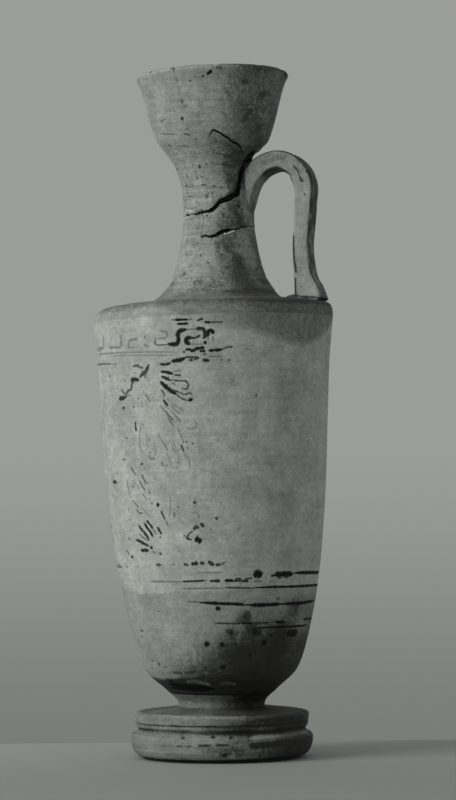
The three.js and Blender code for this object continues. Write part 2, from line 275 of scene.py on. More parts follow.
def degrees_of(bearing):
    """The bearing in degrees from -180 to 180."""
    return (np.asarray(bearing) / DEGREE + 180) % 360 - 180


# Painted shade: fields darken with this side, so the side away from the lamp is darker than the light makes
# it, on top of its glaze.
def dark_and_shaded_side(bearing, reach=66.0, soft=20.0):
    """From 0 on the side that faces the lamp to 1 on the side away from it, `reach` degrees from its
    middle.
    """
    away = np.abs(degrees_of(bearing - DARK_AND_SHADED_BEARING))
    return 1 - ease(away, reach - soft, reach + soft)


def slip_depth(bearing, height):
    """Millimetres inside the slip's edge: the nearer of its scalloped top and its wavering bottom."""
    waver = 1.6 * round_noise(bearing, 9, 21) + 0.7 * round_noise(bearing, 40, 22)
    top = SLIP_TOP(degrees_of(bearing)) - height + 0.5 * mottle(bearing, height, 60, 6, 23)
    hem = SLIP_BOTTOM + SLIP_HEM(degrees_of(bearing)) + 0.5 * waver
    return np.clip(np.minimum(top, height - hem), NO_SLIP, SLIP_REACH)


def patches(bearing, height, spots):
    """Sum of round soft spots: each adds its amount times a bell over its (bearing, height, radius)."""
    total = np.zeros(np.broadcast(bearing, height).shape)
    for at_degrees, at_height, radius, amount in spots:
        turn = degrees_of(bearing - at_degrees * DEGREE) * DEGREE * BODY_MIDDLE
        total = total + amount * np.exp(-(turn**2 + (height - at_height) ** 2) / radius**2)
    return total


def coats(glaze, soil, slip=NO_SLIP, bare=0.0):
    """The four fields of a piece, with glaze and soil held from 0 to 1; the glaze field carries painted
    shade too.
    """
    return {"glaze": np.clip(glaze, 0, 1), "slip": slip, "soil": np.clip(soil, 0, 1), "bare": bare}


print("slip between", SLIP_BOTTOM, "and", float(SLIP_TOP(-100.0)), "mm at the front")

# %% [markdown]
# ## The view
# The picture was taken with a long lens, level with the middle of the body and 15 degrees round from the
# handle's side. The view serves twice: the camera stands there at the end, and marks of worn paint, noted
# as pixels of the picture, are carried back along their lines of sight to the wall.

# %% The view
VIEW = math.radians(15)
TOWARDS_CAMERA = Vector((math.sin(VIEW), -math.cos(VIEW), 0))
TO_THE_RIGHT = Vector((math.cos(VIEW), math.sin(VIEW), 0))
CAMERA_DISTANCE, CAMERA_HEIGHT = 1.32, 0.1125
AIM_HEIGHT, AIM_RIGHT, ROLL = 0.1565, 0.0039, math.radians(0.5)
LENS, SENSOR = 135, 36
PICTURE_WIDE, PICTURE_TALL = 456, 800
FOCAL = LENS / SENSOR * PICTURE_TALL
CAMERA_PLACE = TOWARDS_CAMERA * CAMERA_DISTANCE + Vector((0, 0, CAMERA_HEIGHT))
CAMERA_AIM = TO_THE_RIGHT * AIM_RIGHT + Vector((0, 0, AIM_HEIGHT))
LEVEL_TURN = (CAMERA_PLACE - CAMERA_AIM).to_track_quat("Z", "Y").to_matrix()
CAMERA_TURN = LEVEL_TURN @ Matrix.Rotation(-ROLL, 3, "Z")
SIGHT_ROUNDS = 8


def on_wall(marks, outside):
    """Bearings in degrees and heights in mm where lines of sight through pixels meet a wall.

    At a guessed height the wall is a circle of the outside's radius, and a quadratic gives where the line
    meets it. The height found there is the next guess.
    """
    marks = np.array(marks, float)
    right, down = marks[:, 0] - PICTURE_WIDE / 2, marks[:, 1] - PICTURE_TALL / 2
    sight = np.stack([right, -down, np.full(len(marks), -FOCAL)], axis=-1) @ np.array(CAMERA_TURN).T
    start = np.array(CAMERA_PLACE) / MM
    level = np.hypot(sight[:, 0], sight[:, 1])
    height = start[2] + sight[:, 2] / level * CAMERA_DISTANCE / MM
    for _ in range(SIGHT_ROUNDS):
        x = start[0] - sum(by * ease(height, low, high) for low, high, by in DRIFTS)
        half = (x * sight[:, 0] + start[1] * sight[:, 1]) / level
        inside = half**2 - x**2 - start[1] ** 2 + outside(height) ** 2
        reach = (-half - np.sqrt(np.maximum(inside, 0))) / level
        x, y = x + reach * sight[:, 0], start[1] + reach * sight[:, 1]
        height = start[2] + reach * sight[:, 2] - x * TILT * ease(height, TILT_FROM, TILT_TO)
    return np.stack([np.arctan2(y, x) / DEGREE, height], axis=-1)


PICTURE_MIDDLE = [(PICTURE_WIDE / 2, PICTURE_TALL / 2)]
print("the middle of the picture meets the body at", on_wall(PICTURE_MIDDLE, BODY_OUTSIDE)[0])

# %% [markdown]
# ## Stains seen in the picture
# Stains go the other way: each point of a piece is looked up in the picture, and darkens by how near it
# lies to a stain's line. A stain lies only on the side that the picture shows.

# %% Stains seen in the picture
FACING_EDGE = (0.05, 0.25)


def in_picture(points):
    """Pixels of the picture where settled points are seen."""
    place = (points * MM - np.array(CAMERA_PLACE)) @ np.array(CAMERA_TURN)
    right, up = -FOCAL * place[..., 0] / place[..., 2], -FOCAL * place[..., 1] / place[..., 2]
    return np.stack([PICTURE_WIDE / 2 + right, PICTURE_TALL / 2 - up], axis=-1)


def facing(bearing):
    """1 on the side of a turned piece that the picture shows, easing to 0 at its outline."""
    return ease(np.sin(VIEW - bearing), *FACING_EDGE)


def stained(points, stains):
    """Sum of soft lines: each adds its amount times a bell of the distance in pixels over its width.

    A stain is its amount, its width, and then x and y of every pixel of its line or of its one spot.
    """
    pixels = in_picture(points)
    total = np.zeros(pixels.shape[:-1])
    for amount, width, *line in stains:
        starts = np.reshape(line, (-1, 2)).astype(float)
        ends = np.roll(starts, -1, axis=0)[:-1] if len(starts) > 1 else starts
        nearest = np.full(total.shape, np.inf)
        for a, b in zip(starts, ends):
            t = np.clip((pixels - a) @ (b - a) / max((b - a) @ (b - a), TINY), 0, 1)
            nearest = np.minimum(nearest, np.linalg.norm(pixels - a - t[..., None] * (b - a), axis=-1))
        total += amount * bell(nearest, 0, width)
    return total


print("the foot's middle is seen at pixel", in_picture(np.zeros(3)))

# %% [markdown]
# ## Relief from the wheel and from the ground
# A thrown wall keeps faint finger rings, slow lumps and pits. One relief function serves body, foot and
# neck: tilted ripples that come and go, two sizes of lump, and bell-shaped pits at seeded places. It is
# real geometry, so that it catches the light and shows in the mesh.

# %% Relief
NOTCH_SIDE = 0.004
RING_PITCHES = (3.1, 5.3)
PIT_SIZES, PIT_DEPTH, PIT_SPREAD = (0.5, 1.6), 0.35, 0.45


def finger_rings(bearing, height, depth):
    """Ripples of two pitches up the wall, slanted a little round the jar and faded by slow noise."""
    slant = height + 0.6 * np.sin(bearing + 0.5)
    close, wide = RING_PITCHES
    ripple = np.sin(slant * TURN / close) + 0.7 * np.sin(slant * TURN / wide + 2 * np.sin(bearing))
    return depth * ripple * (0.55 + 0.45 * mottle(bearing, height, 7, 21, 31))


def lumps(bearing, height, depth):
    """Two sizes of lattice noise, the finer one half as deep."""
    return depth * (mottle(bearing, height, 9, 34, 32) + 0.5 * mottle(bearing, height, 26, 11, 33))


def pits(bearing, height, scale, low, high, count, seed):
    """Bell-shaped pits of PIT_SIZES at seeded bearings and heights, as depths in mm."""
    rng = np.random.default_rng(seed)
    depth = np.zeros(np.broadcast(bearing, height).shape)
    places = zip(rng.uniform(0, TURN, count), rng.uniform(low, high, count), rng.uniform(*PIT_SIZES, count))
    for at_bearing, at_height, radius in places:
        across = (np.asarray(bearing - at_bearing) + np.pi) % TURN - np.pi
        away = (across * scale) ** 2 + (height - at_height) ** 2
        depth = depth + PIT_DEPTH * radius * np.exp(-away / (PIT_SPREAD * radius**2))
    return depth


def around(sides, ends=()):
    """Evenly spaced bearings round the turn, as a column, with a doubled column at each end of a notch."""
    even = np.arange(sides) / sides * 360
    doubled = np.array([end + side for end in ends for side in (-NOTCH_SIDE, NOTCH_SIDE)]) % 360
    return np.sort(np.concatenate([even, doubled]))[:, None] * DEGREE


def unit(rows):
    """Rows of vectors scaled to length 1."""
    return rows / np.maximum(np.linalg.norm(rows, axis=1, keepdims=True), TINY)


def outline_normals(outline):
    """Unit normals of an outline of (radius, height) points, to the right of its direction."""
    heading = np.gradient(outline, axis=0)
    return unit(np.stack([heading[:, 1], -heading[:, 0]], axis=-1))


def pushed_out(outline, bearing, move):
    """Settled points of an outline carried round the jar, moved along its normals."""
    normal = outline_normals(outline)
    return settle(bearing, outline[:, 0] + normal[:, 0] * move, outline[:, 1] + normal[:, 1] * move)


def turned_wall(radius_at, heights):
    """Outline points (radius, height) of a wall at the given heights."""
    return np.stack([radius_at(heights), heights], axis=-1)


def joined(parts, face):
    """Parts of an outline joined end to end, and a mask that is 1 on the part that is its outer face."""
    masks = [np.full(len(part), float(place == face)) for place, part in enumerate(parts)]
    return np.concatenate(parts), np.concatenate(masks)


print("rings", RING_PITCHES, "mm apart, pits of", PIT_SIZES, "mm")

# %% [markdown]
# ## Body
# The body is the tall tapering wall. Its outline runs from the nub in the foot, up the outside, over the
# lip that meets the shoulder, down the inside to the floor. A modifier could lathe it, but a grid of
# bearings and outline points takes the relief and the fields directly. The relief moves each point along
# the outline's normal and fades out at the joints. Stains seen in the picture lie on slip and glaze.

# %% Body
BODY_SIDES, BODY_ROWS = 330, 205
INSIDE_TOP, INSIDE_BOTTOM, INSIDE_ROWS = 183, 39.5, 46
NUB_RADIUS, NUB_BOTTOM, BODY_BOTTOM = 12.0, 19.5, 28.75
BODY_EDGE, LIP_CHAMFER = 191.08, 0.3
SOCKET_RADIUS, SOCKET_BOTTOM, LUTE_SEAT = 47.9, 185.6, 190.6
FLOOR_HEIGHT = 38.0
SLOPE_STEP = 0.2
BODY_SPOTS = [
    (-62, 62.5, 3.4, 0.4), (-56, 57, 3.4, 0.4), (-68, 56, 2.2, 0.3), (-34, 56.5, 3, 0.4),
    (-24, 66, 5, 0.25), (35, 58, 12, 0.3),
]
BASE_BAND, BASE_DEPTH = (28.0, 28.6, 35.4, 37.8), 33
# The wide soft stain down the body on the side turned towards the handle is partly soil and partly painted
# shade.
SLIP_STAINS = [
    (-0.4, 7, 215, 330, 245, 334, 266, 340), (-0.4, 8, 246, 384, 262, 384),
    (-0.45, 7, 262, 408, 260, 420), (-0.2, 10, 214, 440, 212, 465), (1.2, 2.5, 232, 381, 233, 385),
    (0.6, 2, 249, 397, 268, 397), (0.45, 6, 246, 408, 243, 435),
    (0.45, 14, 285, 372, 281, 420, 276, 470, 277, 505), (1, 3, 212, 486, 215, 486), (1, 3, 222, 485),
    (0.8, 2.5, 208, 492, 210, 495), (0.7, 4, 254, 497), (0.5, 3, 257, 482), (0.4, 6, 216, 395),
    (0.7, 4, 262, 347, 272, 349), (0.45, 4, 258, 340), (0.45, 4, 246, 348), (0.8, 3.5, 182, 473.5),
    (0.5, 3, 177, 462),
]
GLAZE_STAINS = [
    (-0.45, 1.8, 221, 683.6, 228, 683, 235, 684.4),
    (-0.6, 1.7, 188, 681.6, 196, 681.6, 204, 683, 209, 684.6), (-0.18, 11, 300, 630, 294, 655),
    (-0.1, 10, 285, 618, 300, 620),
]


def body_relief(bearing, height):
    """Outward relief of the body's wall in mm; it dies away at the stem and at the shoulder."""
    fade = ease(height, 29, 34) * (1 - ease(height, 187, 191))
    clay = finger_rings(bearing, height, 0.05) + lumps(bearing, height, 0.16)
    return fade * (clay - pits(bearing, height, 46, 36, 186, 120, 41))


def body_skin(bearing, height):
    """Radius of the body's outside with its relief: what paint and spots lie on.

    The relief is along the normal, so on a slope it reaches further along the radius.
    """
    slope = (BODY_OUTSIDE(height + SLOPE_STEP) - BODY_OUTSIDE(height - SLOPE_STEP)) / (2 * SLOPE_STEP)
    return BODY_OUTSIDE(height) + body_relief(bearing, height) * np.sqrt(1 + slope**2)


def body_fields(bearing, height):
    """Glaze, slip and soil: glaze below the slip and at the stem, and painted shade away from the lamp."""
    below = 1 - ease(height, SLIP_BOTTOM - 6, SLIP_BOTTOM + 2)
    low, full, fading, gone = BASE_BAND
    waver = height + 1.2 * round_noise(bearing, 14, 42) + 0.6 * round_noise(bearing, 50, 43)
    band = ease(height, low, full) * (1 - ease(waver, fading, gone))
    # Painted shade: below the slip, the side away from the lamp darkens, more so towards the bottom.
    down = np.clip(SLIP_BOTTOM - height, 0, BASE_DEPTH)
    side = dark_and_shaded_side(bearing, 50 + 1.75 * down, 36 + 0.4 * down)
    base = 0.02 + (0.42 + 0.58 * ease(down, 4, 26)) * side + 0.9 * band
    slip = slip_depth(bearing, height)
    scallop = ease(-slip, 0, 2.5) * ease(height, 150, 170) * (0.12 + 0.29 * dark_and_shaded_side(bearing, 75, 15))
    blotch = 0.1 * mottle(bearing, height, 26, 8, 44)
    glaze = below * (base + blotch) + scallop + patches(bearing, height, BODY_SPOTS) * below
    soil = 0.25 + 0.3 * mottle(bearing, height, 8, 30, 24) + 0.14 * mottle(bearing, height, 30, 9, 25)
    # Less soil on the side away from the lamp: painted light that lifts the shaded side.
    soil = soil - 0.1 * dark_and_shaded_side(bearing, 66, 14)
    return coats(glaze, soil, slip)


print("the body's wall runs from", BODY_BOTTOM, "to", BODY_EDGE, "mm")

# %% [markdown]
# ## The turned body
# Now the outline is put together and carried round. Only its outer face has relief, slip and glaze. The
# rest, from the nub to the floor inside, is bare clay.

# %% The turned body
def body():
    """The turned outline of the body, moved along its normals by the relief."""
    wall = turned_wall(BODY_OUTSIDE, np.linspace(BODY_BOTTOM, BODY_EDGE, BODY_ROWS))
    inside = turned_wall(BODY_INSIDE, np.linspace(INSIDE_TOP, INSIDE_BOTTOM, INSIDE_ROWS))
    under = along([(0, NUB_BOTTOM), (NUB_RADIUS, NUB_BOTTOM), (NUB_RADIUS, BODY_BOTTOM), wall[0]], 6)
    lip = (wall[-1][0] - LIP_CHAMFER, LUTE_SEAT)
    rim = along([wall[-1], lip, (SOCKET_RADIUS, LUTE_SEAT), (SOCKET_RADIUS, SOCKET_BOTTOM)], 2)
    floor = along([inside[-1], (0, FLOOR_HEIGHT)], 5)
    outline, outside = joined([under[:-1], wall, rim[1:], inside, floor[1:]], 1)
    bearing, height = around(BODY_SIDES), outline[:, 1][None, :]
    points = pushed_out(outline, bearing, body_relief(bearing, height) * outside)
    fields = body_fields(bearing, height)
    seen = facing(bearing)
    fields["soil"] = np.clip(fields["soil"] + seen * stained(points, SLIP_STAINS), 0, 1)
    fields["glaze"] = np.clip(fields["glaze"] + seen * stained(points, GLAZE_STAINS), 0, 1) * outside
    fields["slip"] = np.where(outside > 0, fields["slip"], NO_SLIP)
    fields["bare"] = np.broadcast_to(1 - outside, fields["glaze"].shape)
    piece = skin("slipped_body", points, fields, wrap_columns=False)
    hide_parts("body")


body()

# %% [markdown]
# ## Foot
# The foot is a disc in two degrees with a worn edge. The outline turns sharply at the groove, so its
# corners stay as points and only the outer face gets relief and chips.

# %% Foot
FOOT_SIDES, FOOT_STEP = 300, 0.45
FOOT_EDGES = [(19.6, 0.9), (9.5, 2.2)]
FOOT_OUTSIDE = [
    (34.5, 0), (34.6, 1.2), (36.9, 1.5), (38.2, 2.6), (39.1, 4.2), (39.7, 6), (39.95, 7.8), (39.9, 9.6),
    (39.4, 10.6), (38.9, 11.05), (37.6, 11.6), (36.9, 12.2), (36.7, 12.8), (37, 13.5), (37.7, 14.2),
    (37.95, 15.5), (37.65, 15.85), (38, 16.2), (38.2, 18), (38.3, 19.2), (38, 19.75), (37.2, 20.15),
    (36, 20.4), (30, 21.1), (24, 21.8), (18.5, 22.3),
]
# Painted highlight: the negative mark along the lower degree's top edge on the handle's side. Painted
# shade: the soft wide marks over the middle and the handle's side, and the two long faint lines along the
# grooves on the lamp's side.
FOOT_STAINS = [
    (0.8, 1, 177, 746.2, 182, 745.8), (0.65, 0.9, 186.5, 746, 191, 746.1),
    (0.85, 1.1, 199, 745.9, 205, 745.4, 210, 745.8), (0.75, 1, 216.5, 745.2, 227, 745.3),
    (1.1, 2.2, 252.5, 745.8, 270, 744.6, 290, 742.4, 310, 739.5), (0.4, 1.1, 162, 746, 173, 746),
    (1.1, 1.9, 224, 755.7), (1.1, 1.5, 183, 738), (1.1, 1.4, 212.7, 737.4), (1.1, 1.4, 230.6, 738),
    (1, 1.5, 249.6, 735.6), (0.35, 1, 136, 724, 150, 725.6, 175, 726.6, 215, 726.4),
    (0.45, 1.1, 137, 728.5, 160, 730, 190, 730.8), (0.1, 5, 262, 753, 290, 751, 306, 747),
    (-0.45, 2, 252, 737.6, 280, 735.4, 306, 731.6), (0.3, 6, 250, 723, 275, 721, 300, 717),
    (0.25, 5, 205, 752, 240, 750), (0.3, 6, 205, 730, 245, 729),
]
FOOT_SEAT, FOOT_SOCKET, FOOT_SOCKET_FLOOR = 22.3, 12.3, 19.2


def foot_fields(bearing, height):
    """Worn glaze on the foot, thin on the side facing the lamp, with dark bands near its bottom, and
    painted shade.
    """
    # Painted shade in the groove between the degrees and in the turned line above it.
    groove = 0.42 * bell(height, 12.9, 0.9) + 0.45 * bell(height, 15.85, 0.3)
    band = 0.75 * bell(height, 7.7, 0.45) * ease(round_noise(bearing, 46, 26), -0.15, 0.3)
    chips = 0.6 * bell(height, 11, 0.5) * ease(round_noise(bearing, 90, 30), 0.3, 0.6)
    behind = 1 - facing(bearing)
    # Painted shade on the top face under the stem, and a painted contact shadow along the bottom edge.
    top = 0.4 * ease(height, 20.1, 20.5) + 0.9 * (1 - ease(height, 1.2, 2.2))
    # Painted shade on the side away from the lamp.
    glaze = 0.1 + 0.62 * dark_and_shaded_side(bearing, 69, 37) + groove + (band + chips) * behind + top
    glaze = glaze + 0.12 * mottle(bearing, height, 24, 7, 27)
    soil = 0.35 + 0.3 * mottle(bearing, height, 12, 9, 28)
    return coats(glaze, soil)


def chipped(bearing, edge, seed, depth):
    """Chips along an edge: the peaks of two sizes of noise, times how close the point is to that edge."""
    peaks = ease(round_noise(bearing, 46, seed), 0.35, 0.95)
    fine = ease(round_noise(bearing, 120, seed + 1), 0.3, 0.95)
    return depth * edge * (peaks + 0.5 * fine)


def foot():
    """The turned foot: finger marks on its face and chips on the edges of both degrees."""
    bottom = along([(0, 0), FOOT_OUTSIDE[0]], 4)
    face = along(FOOT_OUTSIDE, FOOT_STEP)
    socket = [(FOOT_SOCKET, FOOT_SEAT), (FOOT_SOCKET, FOOT_SOCKET_FLOOR), (0, FOOT_SOCKET_FLOOR)]
    core = along([FOOT_OUTSIDE[-1], *socket], 4)
    outline, outside = joined([bottom[:-1], face, core[1:]], 1)
    bearing, height = around(FOOT_SIDES), outline[:, 1][None, :]
    edges = sum(bell(height, middle, width) for middle, width in FOOT_EDGES)
    clay = finger_rings(bearing, height, 0.045) + lumps(bearing, height, 0.1)
    clay = clay - chipped(bearing, edges, 51, 0.42) - pits(bearing, height, 38, 2, 20, 60, 53)
    points = pushed_out(outline, bearing, outside * ease(height, 0.05, 1.5) * clay)
    fields = foot_fields(bearing, height)
    fields["glaze"] = np.clip(fields["glaze"] + facing(bearing) * stained(points, FOOT_STAINS), 0, 1)
    fields["bare"] = np.broadcast_to(1 - outside, fields["glaze"].shape)
    piece = skin("two_degree_foot", points, fields, wrap_columns=False)
    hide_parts("foot")


foot()

# %% [markdown]
# ## Ring of clay above the foot
# The ring that luted the foot to the body is a short concave stem of bare clay round the body's nub.

# %% Ring of clay above the foot
STEM_OUTSIDE = curve_through([(22.3, 18.7), (24.9, 19.4), (26.3, 20.5), (28.75, 23.15)])
STEM_SIDES, STEM_ROWS, STEM_BORE, STEM_MIDDLE = 220, 22, 12.35, 25.5


def foot_lute():
    """The ring of clay round the nub: a concave outside, closed by flat seats and the bore."""
    face = turned_wall(STEM_OUTSIDE, np.linspace(FOOT_SEAT, BODY_BOTTOM, STEM_ROWS))
    bore = along([face[-1], (STEM_BORE, BODY_BOTTOM), (STEM_BORE, FOOT_SEAT), face[0]], 4)
    outline = np.concatenate([face, bore[1:-1]])
    bearing, height = around(STEM_SIDES), outline[:, 1][None, :]
    inner = ease(np.abs(height - STEM_MIDDLE), 2.4, 3.2)
    move = (lumps(bearing, height, 0.12) - pits(bearing, height, 20, 23, 28, 30, 54)) * (1 - inner)
    move = move * (outline[:, 0] > STEM_BORE + 0.5)
    points = settle(bearing, outline[:, 0] + move, height + 0 * bearing)
    under_the_band = 0.9 * ease(height, 28.1, 28.5)
    # Painted shade: the stem darkens strongly on the side away from the lamp.
    dark = 0.06 + 0.9 * dark_and_shaded_side(bearing, 75, 32) + under_the_band
    soil = 0.35 + 0.25 * mottle(bearing, height, 14, 4, 29)
    piece = skin("stem_lute", points, coats(dark, soil))
    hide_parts("foot_lute")


foot_lute()

# %% [markdown]
# ## Shoulder
# The shoulder is nearly flat, turns down in a rounded corner and carries a tenon ring that sits inside
# the wall. Its outline is a list of radius and height, followed round. The clay here has no slip and is
# soiled.

# %% Shoulder
SHOULDER_SIDES = 330
SHOULDER_TOP = curve_through([
    (26.2, 202.5), (27.4, 201.5), (29, 200.6), (32, 199.75), (35, 199.3), (44, 198.5), (48.4, 197.9),
])
TOP_OUTER, TOP_INNER, CORNER_KNEE = 48.4, 26.2, 197.4
TENON_INNER, TENON_OUTER, TENON_BOTTOM, TENON_TOP = 44.5, 47.6, 186.0, 191.5
NECK_HOLE, HOLE_BOTTOM, NECK_LUTE_SEAT, NECK_EDGE = 15.3, 197.3, 202.6, 203.1


def shoulder_outline():
    """From the tenon up over the rounded corner and across the top to the neck, then back underneath."""
    edge = BODY_OUTSIDE(BODY_EDGE)
    turn = np.linspace(0, 1, 16)[:, None]
    start, knee = np.array([edge, BODY_EDGE]), np.array([edge - 0.1, CORNER_KNEE])
    end = np.array([TOP_OUTER, SHOULDER_TOP(TOP_OUTER)])
    corner = start * (1 - turn) ** 2 + 2 * knee * turn * (1 - turn) + end * turn**2
    radii = np.linspace(TOP_OUTER, TOP_INNER, 40)
    top = np.stack([radii, SHOULDER_TOP(radii)], axis=-1)
    hole = (NECK_HOLE, HOLE_BOTTOM)
    ledge = [(25.6, NECK_EDGE), (25.0, NECK_LUTE_SEAT), (NECK_HOLE, NECK_LUTE_SEAT)]
    seat = along([top[-1], *ledge, hole], 1.5)
    under = along([hole, (35, 194.8), (44.2, 192.4), (TENON_INNER, TENON_BOTTOM)], 4)
    ring = [(TENON_INNER, TENON_BOTTOM), (TENON_OUTER, TENON_BOTTOM), (TENON_OUTER, TENON_TOP)]
    tenon = along([*ring, (edge - 0.35, TENON_TOP)], 3)
    outline = np.concatenate([corner, top[1:], seat[1:], under[1:], tenon[1:]])
    outside = np.zeros(len(outline))
    outside[:len(corner) + len(top) + 1] = 1
    return outline, outside


def shoulder_fields(bearing, radius, height):
    """Glaze, slip and soil of the shoulder: darkest at its edge, by the neck and, as painted shade, by the
    handle.
    """
    by_the_neck = 1 - ease(radius, 26, 37)
    glaze = 0.12 + 0.36 * dark_and_shaded_side(bearing, 80, 25) + 0.16 * mottle(bearing, 2 * radius, 20, 12, 61)
    glaze = glaze + by_the_neck * (0.12 + 0.42 * dark_and_shaded_side(bearing, 80, 30))
    glaze = glaze + bell(height, 197, 1.3) * (0.3 + 0.3 * dark_and_shaded_side(bearing, 75, 15))
    glaze = glaze - 0.24 * (1 - ease(height, 192.3, 194.3)) * (1 - dark_and_shaded_side(bearing, 58, 8))
    glaze = glaze + 0.3 * ease(height, 194.5, 197.5) * dark_and_shaded_side(bearing, 55, 15)
    soil = 0.58 - 0.25 * dark_and_shaded_side(bearing, 80, 25) + 0.3 * mottle(bearing, 2 * radius, 12, 16, 62)
    wavy = height + 1.2 * round_noise(bearing, 18, 63)
    slip = np.clip(SLIP_TOP(degrees_of(bearing)) - wavy, NO_SLIP, SLIP_REACH)
    return coats(glaze, soil, slip)


def shoulder():
    """The turned shoulder, with slow lumps and pits along the normals of its upper face."""
    outline, outside = shoulder_outline()
    bearing = around(SHOULDER_SIDES)
    radius, height = outline[:, 0][None, :], outline[:, 1][None, :]
    fade = outside * ease(height, 191.1, 193.5) * ease(radius, 26, 28)
    clay = lumps(bearing, 3 * radius, 0.14) + finger_rings(bearing, radius, 0.05)
    clay = clay - pits(bearing, radius, 40, 27, 50, 70, 55)
    points = pushed_out(outline, bearing, clay * fade)
    fields = shoulder_fields(bearing, radius, height)
    fields["glaze"] = fields["glaze"] * outside
    fields["slip"] = np.where(outside > 0, fields["slip"], NO_SLIP)
    fields["bare"] = np.broadcast_to(1 - outside, fields["glaze"].shape)
    piece = skin("flat_shoulder", points, fields)
    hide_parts("shoulder")


shoulder()

# %% [markdown]
# ## The breaks
# The neck broke along a line that climbs over the root of the handle, and a sherd that carries that root
# came loose below it. The mouth broke off above. A break is a height at each bearing with a ragged edge.
# The two sides of a break share the same ragged line, and the gap between them opens towards the front
# and the handle.

# %% Breaks
SHERD_FROM, SHERD_TO = -104, 75
RIM_FROM, RIM_TO, RIM_BOTTOM = -122.4, -104.4, 286
CHIP_FROM, CHIP_TO = -163, -118
STEP = (-79, -36, 1.5)
STEP_GAP = 0.47
SPALL = (-12, 44, 22)
MAIN_LINE = curve_through([
    (-180, 238), (-141, 237.8), (-111, 237.4), (-93, 238.2), (-82.7, 239.9), (-72, 242), (-61, 243.4),
    (-48, 245.4), (-42, 247), (-37.5, 249.5), (-33.5, 253.2), (-26, 258), (-17, 261.2), (0, 262.6),
    (20, 261), (35, 254), (50, 246), (75, 240), (110, 238), (180, 238),
])
MAIN_WIDTH = lines_through([
    (-180, 0.15), (-141, 0.9), (-125, 0.3), (-112, 1.0), (-100, 1.2), (-93, 1.4), (-81, 2.0), (-66, 2.2),
    (-52, 2.4), (-42, 2.9), (-30, 3.1), (-20, 3.4), (-8, 4.6), (12, 5.0), (36, 3.6), (50, 1.5), (75, 0.6),
    (180, 0.15),
])
LOWER_LINE = lines_through([
    (-180, 227), (-104, 227), (-99, 227.8), (-89, 227.3), (-80, 228.1), (-70, 229.2), (-60, 230),
    (-48, 230.3), (-35, 231.4), (0, 232.5), (75, 229), (180, 227),
])
LOWER_WIDTH = lines_through([
    (-180, 0.3), (-104, 0.9), (-90, 1.0), (-80, 1.5), (-70, 2.0), (-62, 1.7), (-55, 0.6), (-40, 0.7),
    (-20, 0.3), (180, 0.3),
])
MOUTH_LINE = lines_through([
    (-180, 266.5), (-80.6, 266.5), (-79, 270.5), (-75, 272.7), (-64, 270.1), (-46, 266.9), (-40, 265.5),
    (-36, 263.5), (-24, 265.6), (-12, 267.2), (14, 267.2), (40, 266.5), (180, 266.5),
])
NECK_MIDDLE, SLOPE_SPAN, HAIRLINE = 16.0, 1.5, 0.02


def ragged(bearing, seed):
    """A ragged line in mm: three octaves of noise round the jar, the finest the shallowest."""
    sizes = [(22, 0.5), (57, 0.28), (130, 0.15)]
    return sum(depth * round_noise(bearing, cells, seed + k) for k, (cells, depth) in enumerate(sizes))


def broken(line, share, seed):
    """A function that gives a break's height at a bearing: its line, with a share of raggedness."""
    return lambda bearing: line(degrees_of(bearing)) + share * ragged(bearing, seed)


def opening(line, width, bearing):
    """Half the height of a break's gap: half its width, times the length of the sloped line."""
    at = degrees_of(bearing)
    rise = (line(at + SLOPE_SPAN) - line(at - SLOPE_SPAN)) / (2 * SLOPE_SPAN * DEGREE * NECK_MIDDLE)
    return width(at) / 2 * np.sqrt(1 + rise**2)


def notch(bearing, start, end, slope):
    """1 between two bearings in degrees and 0 outside them, with ramps `slope` degrees wide outside."""
    at = degrees_of(bearing)
    return np.clip((at - start + slope) / slope, 0, 1) * np.clip((end + slope - at) / slope, 0, 1)


def edge_waver(bearing, height):
    """A sideways waver by the left end of the handle's sherd, so that its crack isn't straight."""
    near = bell(degrees_of(bearing), SHERD_FROM, 9) * (1 - ease(height, 246, 256))
    sway = 4 * mottle(0 * bearing, height, 3, 5, 88) + 2 * mottle(0 * bearing, height, 3, 1.7, 89)
    return near * DEGREE * sway


upper_break = broken(MAIN_LINE, 1.0, 71)
lower_break = broken(LOWER_LINE, 0.6, 75)
mouth_break = broken(MOUTH_LINE, 0.7, 79)
print("main break from", float(upper_break(np.pi)), "to", float(upper_break(0.0)), "mm")

# %% [markdown]
# ## Clay of the neck
# Neck and mouth share one relief and one set of fields, so that sherds match across their breaks.

# %% Clay of the neck
SPALL_DEPTH, SPALL_HEIGHTS = 2.6, (255, 259, 263.5, 270)
